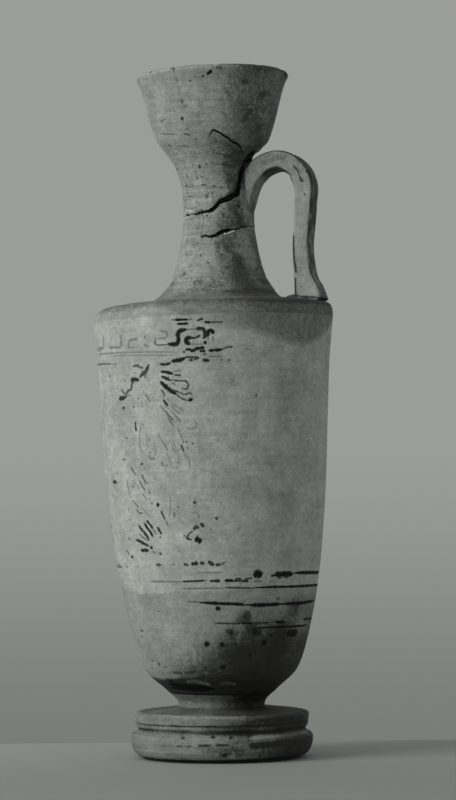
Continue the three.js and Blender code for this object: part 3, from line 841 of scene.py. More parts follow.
# Painted shadow: the dark line up the side of the handle's root that faces the lamp, in the gap by the
# neck.
NECK_STAINS = [
    (0.4, 3, 244, 81, 247, 82), (0.3, 2.5, 243, 121, 247, 117), (0.3, 3, 250.5, 111.5),
    (0.3, 3, 262, 96, 266, 93), (0.3, 2, 228, 92, 230, 97), (0.25, 2, 222, 112, 226, 116),
    (0.3, 2.5, 258, 128, 262, 125), (0.25, 1, 165, 99.8, 184, 99.6, 226, 100),
    (0.35, 1, 175.6, 75.6, 180.4, 91), (0.3, 1, 158, 71, 160, 77), (0.6, 1.4, 171.5, 69, 174.5, 72),
    (0.35, 7, 214, 141, 226, 147, 238, 156), (0.35, 1.3, 206, 151, 220, 154, 234, 157),
    (0.4, 1.3, 212, 163, 232, 166), (0.2, 5, 225, 166, 231, 180),
    (0.4, 2.4, 196, 213.5, 207, 211, 214, 206.5, 226, 197.5, 236, 190),
    (0.45, 3.2, 236, 190, 240, 180, 244, 166, 249, 158), (0.3, 1.6, 183, 213, 191, 213),
    (0.3, 1.4, 190, 171, 196, 172), (0.35, 1.3, 186, 186, 198, 186), (0.3, 1.3, 178, 160, 186, 162),
    (0.5, 1.2, 193, 164.5), (0.5, 1.2, 187, 176), (0.5, 1.3, 203, 172), (0.45, 1.2, 207, 179),
    (0.5, 1.2, 190, 200), (0.45, 1.2, 199, 203), (0.45, 1.1, 212, 194), (0.4, 1.2, 181, 168),
    (0.4, 1.2, 196, 158), (0.4, 1.1, 204, 160), (0.25, 8, 206, 196, 218, 200, 228, 204),
    (0.25, 8, 219, 246, 222, 264), (0.45, 7, 238, 262, 240, 278, 250, 290),
    (-0.55, 8, 247, 236, 247, 252, 252, 264), (-0.5, 1.2, 222, 245, 221, 250, 224, 254, 228, 254),
    (0.3, 2.2, 203, 236, 216, 235, 228, 231), (-0.55, 8, 243, 198, 247, 210, 252, 224),
    (-0.3, 5, 250, 188, 251, 200), (0.3, 2, 236, 212, 240, 224), (0.25, 2, 214, 222, 220, 226),
]


def neck_pits(bearing, height):
    """Pits all over neck and mouth."""
    return pits(bearing, height, 20, 206, 298, 150, 81)


def neck_relief(bearing, height):
    """Outward relief of neck and mouth in mm: rings, lumps, pits and a spall above the handle's root."""
    scale = 0.35 + 0.65 * ease(height, 262, 280)
    clay = finger_rings(bearing, height, 0.05) + 0.6 * lumps(bearing, height, 0.17) * scale
    low, full, fading, gone = SPALL_HEIGHTS
    spall = notch(bearing, *SPALL) * ease(height, low, full) * (1 - ease(height, fading, gone))
    return clay - SPALL_DEPTH * spall - neck_pits(bearing, height) * (1 - 0.3 * scale)


def neck_fields(bearing, height):
    """Glaze and soil on neck and mouth: blotched, with soiled pits, and painted shade on the handle's side.
    """
    blotch = 0.26 * mottle(bearing, height, 16, 9, 82) + 0.2 * mottle(bearing, height, 40, 4, 83)
    below_mouth = 1 - ease(height, 262, 270)
    # Painted shade: darker on the side away from the lamp, and on the lip's top there.
    dark = (0.54 + 0.04 * below_mouth) * dark_and_shaded_side(bearing, 72, 34)
    glaze = 0.05 + 0.08 * below_mouth + dark + blotch * (0.35 + 0.5 * below_mouth)
    glaze = glaze + 0.3 * ease(height, 297.5, 299.5) * dark_and_shaded_side(bearing, 70, 25)
    like_shoulder = 0.36 + 0.22 * dark_and_shaded_side(bearing, 80, 25) + 0.5 * blotch
    glaze = glaze + (like_shoulder - glaze) * (1 - ease(height, 205, 219))
    glaze = glaze + (0.3 + 0.6 * below_mouth) * neck_pits(bearing, height)
    soil = 0.25 + 0.25 * below_mouth + 0.22 * mottle(bearing, height, 11, 14, 84)
    return coats(glaze, soil)


print(len(NECK_STAINS), "stains on neck and mouth")

# %% [markdown]
# ## Loops of wall
# Every sherd of neck and mouth is a closed loop carried round the jar: up the outside, across the upper
# break, down the bore and back across the lower break. The heights of the loop's ends change with the
# bearing. The outer edge of a break is worn, so the wall draws in a little close to it. A sherd that
# doesn't go all round is closed by shrinking its end loops to the middle of the wall.

# %% Loops of wall
WEAR_REACH = 0.7
CROSSING = np.linspace(0, 1, 7)[None, 1:-1]


def wall_loop(bearing, low, high, rows, low_worn, high_worn, lip=0.0, seat=None, uncut=None):
    """Radius, height and outer mask of the loop at each bearing.

    The outside runs from low to high in `rows` steps. Then come the crossing at the top, the bore with half
    as many rows, and the crossing at the bottom or the given seat of (radius, height) corners.
    Over a notch the rows keep the heights of the uncut wall up to the notch's floor and then meet in the
    middle of the wall, so the notch's sides stay upright and inside the wall. `lip` is the share of the
    bore that is finished as the outside is, 0 where both ends are breaks.
    """
    t = np.linspace(0, 1, rows)[None, :]
    uncut = high if uncut is None else uncut
    outer_full = low + (uncut - low) * t
    outer_z = np.minimum(outer_full, high)
    worn = low_worn * np.exp(-(outer_z - low) / WEAR_REACH)
    worn = worn + high_worn * np.exp(-(high - outer_z) / WEAR_REACH)
    middle = (NECK_OUTSIDE(high) + NECK_INSIDE(high)) / 2
    outer_r = NECK_OUTSIDE(outer_z) + neck_relief(bearing, outer_z) - worn
    outer_r = np.where(outer_full - high > (uncut - low) / (rows - 1), middle, outer_r)
    inner_low = low if seat is None else np.full_like(low, seat[0][1])
    inner_full = uncut + (inner_low - uncut) * np.linspace(0, 1, rows // 2)[None, :]
    inner_z = np.minimum(inner_full, high)
    inner_r = NECK_INSIDE(inner_z) + 0.5 * lumps(bearing, inner_z, 0.2)
    inner_r = np.where(inner_full - high > (uncut - inner_low) / (rows // 2 - 1), middle, inner_r)
    top_r = outer_r[:, -1:] + (inner_r[:, :1] - outer_r[:, -1:]) * CROSSING
    crown = 0.5 * np.sin(np.pi * CROSSING) if lip else 0.35 * mottle(bearing, 8 * top_r, 60, 9, 85)
    top_z = high + crown * (uncut == high)
    if seat is None:
        end_r = inner_r[:, -1:] + (outer_r[:, :1] - inner_r[:, -1:]) * CROSSING
        end_z = low + 0.35 * mottle(bearing, 8 * end_r, 60, 9, 86)
    else:
        corners = along(seat, 1.5)[1:]
        end_r = np.broadcast_to(corners[:, 0], (len(bearing), len(corners)))
        end_z = np.broadcast_to(corners[:, 1], (len(bearing), len(corners)))
    radius = np.concatenate([outer_r, top_r, inner_r, end_r], axis=1)
    height = np.concatenate([outer_z, top_z + 0 * top_r, inner_z, end_z], axis=1)
    mask = np.zeros(radius.shape[1])
    mask[:rows] = 1
    if lip:
        mask[rows:rows + top_r.shape[1] + round(lip * (rows // 2))] = 1
    return radius, height, mask


def capped(bearing, radius, height, middle):
    """Loops with the first and the last repeated at their middle radius, which closes both ends."""
    ends = [0, *range(len(bearing)), -1]
    return bearing[ends], np.concatenate([middle[:1], radius, middle[-1:]]), height[ends]


def sherd(name, node, bearing, loop, full_turn):
    """The skin of a sherd from its loops; an open one has end loops drawn to the middle of the wall."""
    radius, height, mask = loop
    if not full_turn:
        middle = (NECK_OUTSIDE(height) + NECK_INSIDE(height)) / 2
        bearing, radius, height = capped(bearing, radius, height, middle)
    fields = neck_fields(bearing, height)
    fields["bare"] = np.broadcast_to(1 - mask, height.shape)
    points = settle(bearing + edge_waver(bearing, height), radius, height)
    fields["glaze"] = np.clip(fields["glaze"] + facing(bearing) * stained(points, NECK_STAINS), 0, 1) * mask
    piece = skin(name, points, fields, wrap_rows=full_turn)
    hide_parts(node)


print("a crossing has", CROSSING.size, "points")

# %% [markdown]
# ## Sherds of the neck
# Three sherds make the neck. Where two of them meet they follow the same break, each drawn back by half
# of the gap, and their worn edges are chipped.

# %% Sherds of the neck
NECK_SIDES, OPEN_SIDES = 360, 190
NECK_TENON, NECK_TENON_BOTTOM, TENON_SHOULDER = 15.0, 198.0, 203.5
SUNK_FROM = -60


def lower_neck():
    """The lower neck: its top follows the main break, and dips to the lower one under the sherd."""
    bearing = around(NECK_SIDES, (SHERD_FROM, SHERD_TO))
    hold = notch(bearing, SHERD_FROM, SHERD_TO, NOTCH_SIDE)
    upper = upper_break(bearing) - opening(MAIN_LINE, MAIN_WIDTH, bearing)
    lower = lower_break(bearing) - opening(LOWER_LINE, LOWER_WIDTH, bearing)
    high = upper + (lower - upper) * hold
    low = np.full_like(high, NECK_EDGE)
    bore = float(NECK_INSIDE(NECK_TENON_BOTTOM))
    seat = [(bore, NECK_TENON_BOTTOM), (NECK_TENON, NECK_TENON_BOTTOM)]
    seat = [*seat, (NECK_TENON, TENON_SHOULDER), (25.0, TENON_SHOULDER)]
    chips = chipped(bearing, 1.0, 87, 0.6)
    loop = wall_loop(bearing, low, high, 84, 0.0, 0.12 + chips, seat=seat, uncut=upper)
    sherd("lower_neck_sherd", "lower_neck", bearing, loop, True)


def neck_sherd():
    """The sherd with the handle's root, between the two breaks."""
    bearing = np.linspace(SHERD_FROM + 0.9, SHERD_TO - 0.3, OPEN_SIDES)[:, None] * DEGREE
    low = lower_break(bearing) + opening(LOWER_LINE, LOWER_WIDTH, bearing)
    high = upper_break(bearing) - opening(MAIN_LINE, MAIN_WIDTH, bearing)
    chips = chipped(bearing, 1.0, 91, 0.6)
    loop = wall_loop(bearing, low, high, 48, 0.15 + chips, 0.15 + chips)
    sherd("handle_root_sherd", "neck_sherd", bearing, loop, False)


def upper_neck():
    """The neck above the main break, with the chipped place at its left lower edge."""
    bearing = around(NECK_SIDES)
    step = notch(bearing, *STEP)
    low = upper_break(bearing) + opening(MAIN_LINE, MAIN_WIDTH, bearing)
    high = mouth_break(bearing) - HAIRLINE - STEP_GAP * step
    chips = chipped(bearing, 1.0, 95, 0.6)
    radius, height, mask = wall_loop(bearing, low, high, 66, 0.15 + chips, 0.3 * chips * step)
    chip = 1.2 * notch(bearing, CHIP_FROM + 6, CHIP_TO - 6, 8) * (1 - ease(height, low + 1.5, low + 3.5))
    sunk = 0.7 * notch(bearing, SUNK_FROM, STEP[1], 20) * ease(height, 255, 263)
    sherd("upper_neck_sherd", "upper_neck", bearing, (radius - (chip + sunk) * mask, height, mask), True)


lower_neck()
neck_sherd()
upper_neck()

# %% [markdown]
# ## Mouth and rim sherd
# The mouth flares to a rounded lip. A small sherd at the rim came loose and was glued back, so the mouth
# has a notch there with a dark hairline round it. Loss at the lip is a set of small bites out of its
# edge.

# %% Mouth and rim sherd
RIM_TOP = 300.0
RIM_BITES = [
    (-73, 2.6, 0.4), (-105, 1.3, 1.7), (-124, 1.0, 0.4), (-6, 4.0, 0.7), (62, 3.5, 1.0), (150, 5.0, 1.2),
]
MOUTH_SIDES = 401


def rim_loss(bearing):
    """How far the lip is bitten away in mm: bells of a given width at given bearings, and fine nibbling."""
    at = degrees_of(bearing)
    bites = sum(depth * bell(at, place, width) for place, width, depth in RIM_BITES)
    return bites + 0.14 * ease(round_noise(bearing, 90, 101), 0.2, 0.9)


def mouth():
    """The mouth from its break to the lip, notched for the rim sherd."""
    bearing = around(MOUTH_SIDES, (RIM_FROM, RIM_TO))
    low = mouth_break(bearing) + HAIRLINE + STEP_GAP * notch(bearing, *STEP)
    rim = RIM_TOP - rim_loss(bearing)
    hold = notch(bearing, RIM_FROM, RIM_TO, NOTCH_SIDE)
    high = rim + (RIM_BOTTOM - HAIRLINE + 0.5 * ragged(bearing, 102) - rim) * hold
    worn = chipped(bearing, 1.0, 103, 0.3) * notch(bearing, *STEP)
    loop = wall_loop(bearing, low, high, 92, worn, 0.12, lip=0.5, uncut=rim)
    sherd("flaring_mouth", "mouth", bearing, loop, True)


def rim_sherd():
    """The small sherd of rim in its notch."""
    bearing = np.linspace(RIM_FROM + HAIRLINE, RIM_TO - 0.15, 46)[:, None] * DEGREE
    low = RIM_BOTTOM + 0.03 + 0.5 * ragged(bearing, 102)
    high = RIM_TOP - rim_loss(bearing)
    loop = wall_loop(bearing, low, high, 40, 0.0, 0.12, lip=1.0)
    sherd("rim_chip_sherd", "rim_sherd", bearing, loop, False)


mouth()
rim_sherd()

# %% [markdown]
# ## Glue and plaster in the breaks
# The mender's glue lies in each break, set back from the face, so a break shows as a dark line. A band of
# glue is a small lens carried along the break. White plaster fills the chipped place at the left of the
# main break, and a few crumbs of it are left under the lower one.

# %% Glue and plaster in the breaks
LENS_POINTS = 12
PLASTER_GRID, PLASTER_THICK = (90, 26), 0.4


def band(name, node, slot, bearing, middle, half, depth, outer_inset, full_turn, soil):
    """A lens in the wall: from `outer_inset` under the outside to `depth` deeper, `half` high."""
    turn = np.linspace(0, TURN, LENS_POINTS + 1)[None, :-1]
    height = middle + half * np.sin(turn)
    radius = NECK_OUTSIDE(height) - outer_inset - depth * (0.5 - 0.5 * np.cos(turn))
    radius = radius + 0.12 * mottle(bearing, 6 * height, 90, 5, 111)
    if not full_turn:
        shrink = np.ones_like(bearing)
        shrink[0], shrink[-1] = 0, 0
        radius = radius.mean(1, keepdims=True) + (radius - radius.mean(1, keepdims=True)) * shrink
        height = middle + (height - middle) * shrink
    piece = skin(name, settle(bearing, radius, height), coats(0.0, soil), wrap_rows=full_turn)
    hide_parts(node)


def glue():
    """Three bands of glue along the breaks."""
    turn = around(300)
    part = np.linspace(SHERD_FROM + 1, SHERD_TO - 1, 150)[:, None] * DEGREE
    deep = 0.9 + 1.6 * notch(turn, -30, 40, 20)
    band("main_break_glue", "upper_glue", "old_glue", turn, upper_break(turn), 0.45, 2.2, deep, True, 0.5)
    band("lower_break_glue", "lower_glue", "old_glue", part, lower_break(part), 0.45, 3.2, 0.9, False, 0.5)
    band("mouth_break_glue", "mouth_glue", "old_glue", turn, mouth_break(turn), 0.3, 3.2, 0.8, True, 0.5)


def plaster(name, start, end, low, tall, inset):
    """A lumpy patch of plaster: a grid over its place, bulging in the middle, closed behind."""
    rows, columns = PLASTER_GRID
    bearing = np.linspace(start, end, rows)[:, None] * DEGREE
    s, t = np.linspace(0, 1, rows)[:, None], np.linspace(0, 1, columns)[None, :]
    height = low(bearing) + tall * t * (0.8 + 0.2 * round_noise(bearing, 60, 112))
    edge = np.sin(np.pi * s) ** 0.4 * np.sin(np.pi * t) ** 0.5
    back = NECK_OUTSIDE(height) - inset - PLASTER_THICK
    front = NECK_OUTSIDE(height) - inset + edge * (0.9 + 0.45 * mottle(bearing, height, 70, 2.0, 113))
    radius = np.concatenate([front, back[:, ::-1]], axis=1)
    height = np.concatenate([height, height[:, ::-1]], axis=1)
    loops = capped(bearing, radius, height, (radius + radius[:, ::-1]) / 2)
    piece = skin(name, settle(*loops), coats(0.0, 0.3), wrap_rows=False)
    return piece


def in_the_chip(bearing):
    """Height of the lower edge of the plaster in the chipped place."""
    return upper_break(bearing) + 0.4


def under_the_sherd(bearing):
    """Height of the crumbs of plaster left under the lower break."""
    return lower_break(bearing) - opening(LOWER_LINE, LOWER_WIDTH, bearing) - 1.3


glue()
filling = plaster("plaster_filling", CHIP_FROM + 4, CHIP_TO - 4, in_the_chip, 2.6, 1.3)
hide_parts("plaster_fill")
plaster("plaster_crumbs", -70, -47, under_the_sherd, 1.5, 0.75)

# %% [markdown]
# ## The handle's line and section
# The handle is a strap pulled from clay. Its middle line is a smooth curve through a few points in the
# plane of the handle, and a rounded rectangle is carried along it, wider where it stands on the shoulder.

# %% The handle's line and section
HANDLE_PATH = [
    (13.4, 239), (13.7, 243), (14.3, 247), (16.6, 253), (21.6, 258), (28.5, 260.1), (34.6, 258.4),
    (38.3, 254), (40, 248), (39.6, 240), (38.9, 231), (38.3, 223), (38.6, 215), (39.8, 207), (41.7, 202),
    (43.6, 196.4),
]
STRAP_THICK = curve_through([
    (0, 3.6), (0.04, 5.2), (0.08, 6.4), (0.14, 7.6), (0.22, 8.5), (0.29, 8.7), (0.41, 9.2), (0.48, 8.4),
    (0.56, 7.8), (0.81, 7.5), (0.89, 9), (0.94, 11), (1, 13.4),
])
STRAP_WIDE = curve_through([(0, 10), (0.05, 12.8), (0.15, 13.6), (0.85, 13.6), (1, 15.8)])
STRAP_SQUARE = 7.0
HANDLE_ROWS, HANDLE_SIDES, SPAN_STEPS = 330, 96, 39
FLAKE_AT = 0.4
ROOT_HEIGHT, STAND_RADIUS = 243.5, 40.4
HANDLE_STAINS = [
    (1.1, 1, 294, 166, 298, 171, 301, 180.5), (1, 1.4, 301, 179, 302.5, 181),
    (0.9, 1, 306, 171, 309.5, 174), (1, 1.1, 291, 182, 293.6, 191),
    (1.1, 1.2, 293.2, 236, 293.6, 256, 296, 272), (1.1, 1.3, 295.2, 279, 295.4, 297),
    (0.3, 3, 262, 163, 272, 158, 284, 158), (-0.3, 2.5, 296, 176, 301, 169),
    (0.35, 2, 313, 212, 314, 224), (1, 1.2, 290, 295.4, 300, 296.2, 314, 297.3, 328, 299),
    (0.3, 2.2, 247, 172, 252, 165),
]


def smooth_path(corners, count):
    """A smooth line through corners, spaced evenly by length: its points, unit headings and length.

    Each span is a cubic whose slope at a corner is half the step between that corner's neighbours.
    """
    corners = np.array(corners, float)
    padded = np.concatenate([2 * corners[:1] - corners[1:2], corners, 2 * corners[-1:] - corners[-2:-1]])
    t = np.linspace(0, 1, SPAN_STEPS + 1)[:-1, None, None]
    a, b, c, d = padded[:-3], padded[1:-2], padded[2:-1], padded[3:]
    spans = 2 * b + (c - a) * t + (2 * a - 5 * b + 4 * c - d) * t**2 + (3 * b - a - 3 * c + d) * t**3
    line = np.concatenate([0.5 * spans.transpose(1, 0, 2).reshape(-1, corners.shape[1]), corners[-1:]])
    length = np.concatenate([[0], np.cumsum(np.linalg.norm(np.diff(line, axis=0), axis=1))])
    at = np.linspace(0, length[-1], count)
    points = np.stack([np.interp(at, length, line[:, k]) for k in range(line.shape[1])], axis=-1)
    return points, unit(np.gradient(points, axis=0)), length[-1]


def square_walk(count):
    """Even steps round a square from -1 to 1: a clipped triangle wave, and it a quarter turn later."""
    u = np.arange(count) / count
    wave = lambda at: np.clip(2 - 8 * np.abs((at + 0.5) % 1 - 0.5), -1, 1)
    return wave(u)[None, :], wave(u - 0.25)[None, :]


print("the handle is", round(float(smooth_path(HANDLE_PATH, HANDLE_ROWS)[2]), 1), "mm long")

# %% [markdown]
# ## Handle
# The section is carried along the line. The outer face kept its dark glaze, the sides are rubbed pale,
# and a flake is lost from the arch. The inner face is dark, partly glaze and partly painted shade, most
# under the arch.

# %% Handle
def handle():
    """The strap: thickness along the path's normal and width along Y, from a rounded square walk."""
    middle, heading, length = smooth_path(HANDLE_PATH, HANDLE_ROWS)
    t = np.linspace(0, 1, HANDLE_ROWS)[:, None]
    out, aside = square_walk(HANDLE_SIDES)
    turn = np.arange(HANDLE_SIDES)[None, :] / HANDLE_SIDES * TURN
    rounding = (np.abs(out) ** STRAP_SQUARE + np.abs(aside) ** STRAP_SQUARE) ** (-1 / STRAP_SQUARE)
    grain = turn * 0 + t * length
    lump = 0.16 * mottle(turn, grain, 7, 9, 121) + 0.07 * mottle(turn, grain, 22, 3, 122)
    lump = lump - 0.5 * bell(t, FLAKE_AT, 0.035) * ease(mottle(turn, grain, 16, 3, 123), -0.3, 0.3)
    tip = np.where((t == 0) | (t == 1), 0.0, 1.0)
    outwards = tip * STRAP_THICK(t) / 2 * out * rounding * (1 + lump / 4)
    sideways = tip * STRAP_WIDE(t) / 2 * aside * rounding * (1 + lump / 8)
    x = middle[:, :1] - heading[:, 1:] * outwards
    z = middle[:, 1:] + heading[:, :1] * outwards
    points = settle_points(np.stack([x, sideways, z], axis=-1))
    return points, t, turn, grain, out, aside


def dress_handle():
    """The strap's skin and fields: glaze outside, rubbed sides, and an inner face dark partly with painted
    shade.
    """
    points, t, turn, grain, out, aside = handle()
    wear = 0.12 * mottle(turn, grain, 10, 6, 124)
    # Painted shade: the inner face is darkened, most and widest under the arch, partly for glaze and partly
    # for shade.
    glaze_and_shade_under_arch = bell(t, 0.28, 0.13)
    inner = ease(-out, 0.94 - 0.34 * glaze_and_shade_under_arch, 0.99 - 0.2 * glaze_and_shade_under_arch) * ease(t, 0.13, 0.23)
    kept = 0.62 + 0.22 * (1 - ease(t, 0.5, 0.75)) + 0.4 * mottle(turn, grain, 14, 5, 127)
    root = (1 - ease(t, 0.03, 0.13)) * (0.26 + 0.5 * mottle(turn, grain, 18, 4, 126))
    glaze = 0.04 + kept * ease(out, 0.82, 0.95) + inner * (0.5 + 0.6 * glaze_and_shade_under_arch) + root + wear
    seen = np.maximum(ease(-aside, 0.9, 0.99), ease(out, 0.9, 0.99))
    glaze = glaze + seen * stained(points, HANDLE_STAINS)
    flake = bell(t, FLAKE_AT, 0.03) * ease(mottle(turn, grain, 16, 3, 123), -0.2, 0.4)
    soil = 0.25 + 0.25 * (1 - ease(t, 0.4, 0.55)) + 0.6 * flake + 0.3 * mottle(turn, grain, 8, 11, 125)
    piece = skin("strap_handle", points, coats(glaze, soil), wrap_rows=False)
    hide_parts("handle")


dress_handle()

# %% [markdown]
# ## Pads of slip at the handle's ends
# At each end of the handle lies a pad of slip that follows the clay below.

# %% Pads of slip at the handle's ends
PAD_RINGS, PAD_SIDES, PAD_UNDER = 16, 96, -0.3


def pad(name, node, place, half_across, half_along, thick, soil, glaze):
    """A lens of slip: rings of a disc from its middle to its edge above the clay, and back below it."""
    out, back = np.linspace(0, 1, PAD_RINGS), np.linspace(1, 0, PAD_RINGS)[1:]
    ring = np.concatenate([out, back])[:, None]
    turn = np.linspace(0, TURN, PAD_SIDES + 1)[None, :-1]
    rise = np.concatenate([np.sqrt(1 - out**2), np.full(len(back), PAD_UNDER)])[:, None] * thick
    across, up = half_across * ring * np.cos(turn), half_along * ring * np.sin(turn)
    wobble = 1 + 0.07 * np.sin(3 * turn + 1) + 0.05 * np.sin(7 * turn)
    points = place(across * wobble, up * wobble, rise + 0 * turn)
    piece = skin(name, points, coats(glaze, soil), wrap_rows=False)
    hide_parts(node)


def on_neck(across, up, rise):
    """A point on the neck under the handle's root: across is along the turn, up is along the height."""
    height = ROOT_HEIGHT + up
    return settle(across / NECK_OUTSIDE(ROOT_HEIGHT), NECK_OUTSIDE(height) + rise, height)


def on_shoulder(across, up, rise):
    """A point on the shoulder under the handle's foot: across is along Y, up is away from the axis."""
    x = STAND_RADIUS + up
    radius = np.hypot(x, across)
    return settle_points(np.stack([x, across, SHOULDER_TOP(radius) + rise], axis=-1))


pad("root_lute", "handle_upper_lute", on_neck, 6.4, 6.0, 0.7, 0.5, 0.45)
pad("foot_pad_lute", "handle_lower_lute", on_shoulder, 8.4, 8.4, 2.5, 1.0, 1.0)

# %% [markdown]
# ## Brush strokes
# The painter worked with a loaded brush, so every line stands a hair proud of the slip and has worn into
# fragments. A stroke is a line on the unrolled wall with a width along it. Marks of the picture give the
# lines, and where nothing is known they wear by noise.

# %% Brush strokes
PAINT_STEP = 0.32
FOOTPRINT, BRUSH_SPREAD, FINEST_BRUSH = 0.25, 1.6, 0.65
FINE_CELLS, FINE_TALL = 420, 0.9


def stroke(points, width, ink, taper=0.25, curved=True):
    """A stroke through (bearing in degrees, height) points: even stations, widths and ink.

    The ends reach out by the brush's footprint and narrow there, and fine noise roughens the edges.
    """
    points = np.array(points, float)
    radius = BODY_OUTSIDE(points[:, 1].mean())
    flat = np.stack([points[:, 0] * DEGREE * radius, points[:, 1]], axis=-1)
    reach = FOOTPRINT * width
    flat[0] += reach * (flat[0] - flat[1]) / np.linalg.norm(flat[0] - flat[1])
    flat[-1] += reach * (flat[-1] - flat[-2]) / np.linalg.norm(flat[-1] - flat[-2])
    count = max(int(np.linalg.norm(np.diff(flat, axis=0), axis=1).sum() / PAINT_STEP) + 2, 6)
    line = smooth_path(flat, count)[0] if curved else along(flat, PAINT_STEP)
    t = np.linspace(0, 1, len(line))
    swell = ease(t, 0, taper) * (1 - ease(t, 1 - taper, 1))
    line = line / [radius * DEGREE, 1]
    rough = 1 + 0.3 * mottle(line[:, 0] * DEGREE, line[:, 1], FINE_CELLS, FINE_TALL, 17)
    return line, width * rough * (0.4 + 0.6 * swell), np.full(len(line), float(ink))


def worn_runs(line, width, ink, seed):
    """The runs of a stroke where noise in three sizes lies under what its ink has kept."""
    bearing, height = line[:, 0] * DEGREE, line[:, 1]
    noise = 0.5 * mottle(bearing, height, 40, 8, seed) + 0.35 * mottle(bearing, height, 130, 2.6, seed + 1)
    noise = 0.5 + 0.62 * (noise + 0.3 * mottle(bearing, height, FINE_CELLS, FINE_TALL, seed + 2))
    held = np.concatenate([[False], noise < 0.36 + 0.58 * ink, [False]])
    edges = np.flatnonzero(held[1:] != held[:-1])
    runs = [slice(a, b) for a, b in zip(edges[::2], edges[1::2]) if b - a > 3]
    return [(line[run], width[run], ink[run]) for run in runs]


def traced(marks, outside):
    """Strokes on a wall from marks of the picture: ink, width in mm, then x and y of every pixel.

    A full brush is wider, and a stroke's thin sides lie outside the width that the mark gives.
    """
    strokes = []
    for ink, width, *pixels in marks:
        spread = max(width, FINEST_BRUSH) * BRUSH_SPREAD * (0.88 + 0.3 * ink)
        line = on_wall(np.reshape(pixels, (-1, 2)), outside)
        strokes.append(stroke(line, spread, ink**0.8, 0.2))
    return strokes


print("a stroke has a station every", PAINT_STEP, "mm")

# %% [markdown]
# ## Strokes as ribbons
# A stroke is carried as a thin ribbon with a rounded back on the relief of the wall. Its ink thins out to
# the sides, where the ground shows. A texture could show the same lines, but ribbons stay sharp from
# close by and come along in the exported meshes.

# %% Strokes as ribbons
PAINT_RISE, PAINT_ROOT = 0.06, 0.16
RIBBON_ACROSS = np.array([-1.0, -0.5, 0.0, 0.5, 1.0, 0.0])
RIBBON_UP = np.array([-0.35, 0.75, 1.0, 0.75, -0.35, -PAINT_ROOT / PAINT_RISE])
RIBBON_INK = np.array([0.25, 0.95, 1.0, 0.95, 0.25, 0.25])


def ground(fields, slip, clay, glaze):
    """The grey level under paint: slip inside its edge, elsewhere clay that darkens with its glaze."""
    bare = clay + (glaze - clay) * ease(fields["glaze"], 0.08, 0.92)
    return bare + (slip - bare) * ease(fields["slip"], *SLIP_EDGE)


def body_ground(bearing, height):
    """The grey level of the body's wall."""
    return ground(body_fields(bearing, height), 0.41, 0.31, 0.03)


def ribbon(line, width, skin_of):
    """Bearings, heights and lifts of one run: across its heading on the unrolled wall, and up."""
    radius = float(skin_of(line[:, 0].mean() * DEGREE, line[:, 1].mean()))
    flat = np.stack([line[:, 0] * DEGREE * radius, line[:, 1]], axis=-1)
    heading = unit(np.gradient(flat, axis=0))
    end = np.minimum(np.arange(len(line)), np.arange(len(line))[::-1])
    half = (width / 2 * np.minimum(1, 0.25 + 0.45 * end) * (end > 0))[:, None]
    sideways = half * RIBBON_ACROSS
    bearing = (flat[:, :1] - heading[:, 1:] * sideways) / radius
    height = flat[:, 1:] + heading[:, :1] * sideways
    return bearing, height, PAINT_RISE * RIBBON_UP * (end > 0)[:, None]


def paint(name, strokes, skin_of, ground_of):
    """One piece of all strokes, each a closed ribbon, with its ink and the ground under it as fields."""
    corners, faces, inks, grounds, count = [], [], [], [], 0
    for line, width, ink in strokes:
        bearing, height, lift = ribbon(line, width, skin_of)
        corners.append(settle(bearing, skin_of(bearing, height) + lift, height).reshape(-1, 3))
        faces.append(grid_faces(*bearing.shape, False, True) + count)
        inks.append((ink[:, None] * RIBBON_INK).reshape(-1))
        grounds.append(np.broadcast_to(ground_of(bearing, height), bearing.shape).reshape(-1))
        count += bearing.size
    fields = {"ink": np.concatenate(inks), "ground": np.concatenate(grounds)}
    piece = add_piece(name, *welded(np.concatenate(corners), np.concatenate(faces), fields))


print("paint stands", PAINT_RISE, "mm proud")

# %% [markdown]
# ## Lines and key meander
# Ruled lines ran round the jar while it turned on the wheel, and a running key fills the band under the
# shoulder. At the front both have worn into fragments, so each fragment is noted where the picture shows
# it.

# %% Lines and key meander
KEY_MARKS = [
    (1, 1.4, 168, 344, 176, 344, 178.5, 340, 178, 334, 180, 331, 186, 329.5),
    (0.55, 0.5, 186, 329.5, 198, 329), (0.95, 1.1, 196, 329, 201, 328.5, 204, 330, 205, 336, 203, 338),
    (0.9, 0.8, 200, 335, 196, 337.5, 190, 338), (1, 1.3, 191, 337.5, 187, 338.5, 186.5, 342, 190, 344),
    (0.45, 0.5, 190, 344, 203, 344), (1, 1.1, 204.2, 342.2, 206, 342.8),
    (1, 1.3, 208, 336, 208, 332, 211, 330.5, 213.5, 333), (0.45, 0.5, 208, 334, 208, 340),
    (0.45, 0.5, 213, 336, 213, 341), (0.65, 0.55, 156, 338, 156, 344.5, 169, 344.5),
    (0.5, 0.5, 157, 338.5, 165, 338, 167, 335, 166, 332, 160, 331), (0.5, 0.9, 103.8, 336, 103.8, 348),
    (0.45, 0.9, 98, 348.4, 104, 348), (0.5, 0.9, 121.2, 334.5, 121, 347),
    (0.45, 0.9, 109, 347.6, 121, 347.2), (0.4, 0.6, 96.6, 350, 101.6, 350.2),
    (0.5, 0.9, 129.6, 340.4, 137.4, 338.6), (0.45, 0.9, 129.4, 340, 128.4, 347),
    (0.4, 0.9, 128, 347.6, 135, 347.2), (0.4, 0.9, 144.6, 335.6, 145.4, 339),
    (0.45, 0.9, 144, 344.6, 148.6, 347),
]
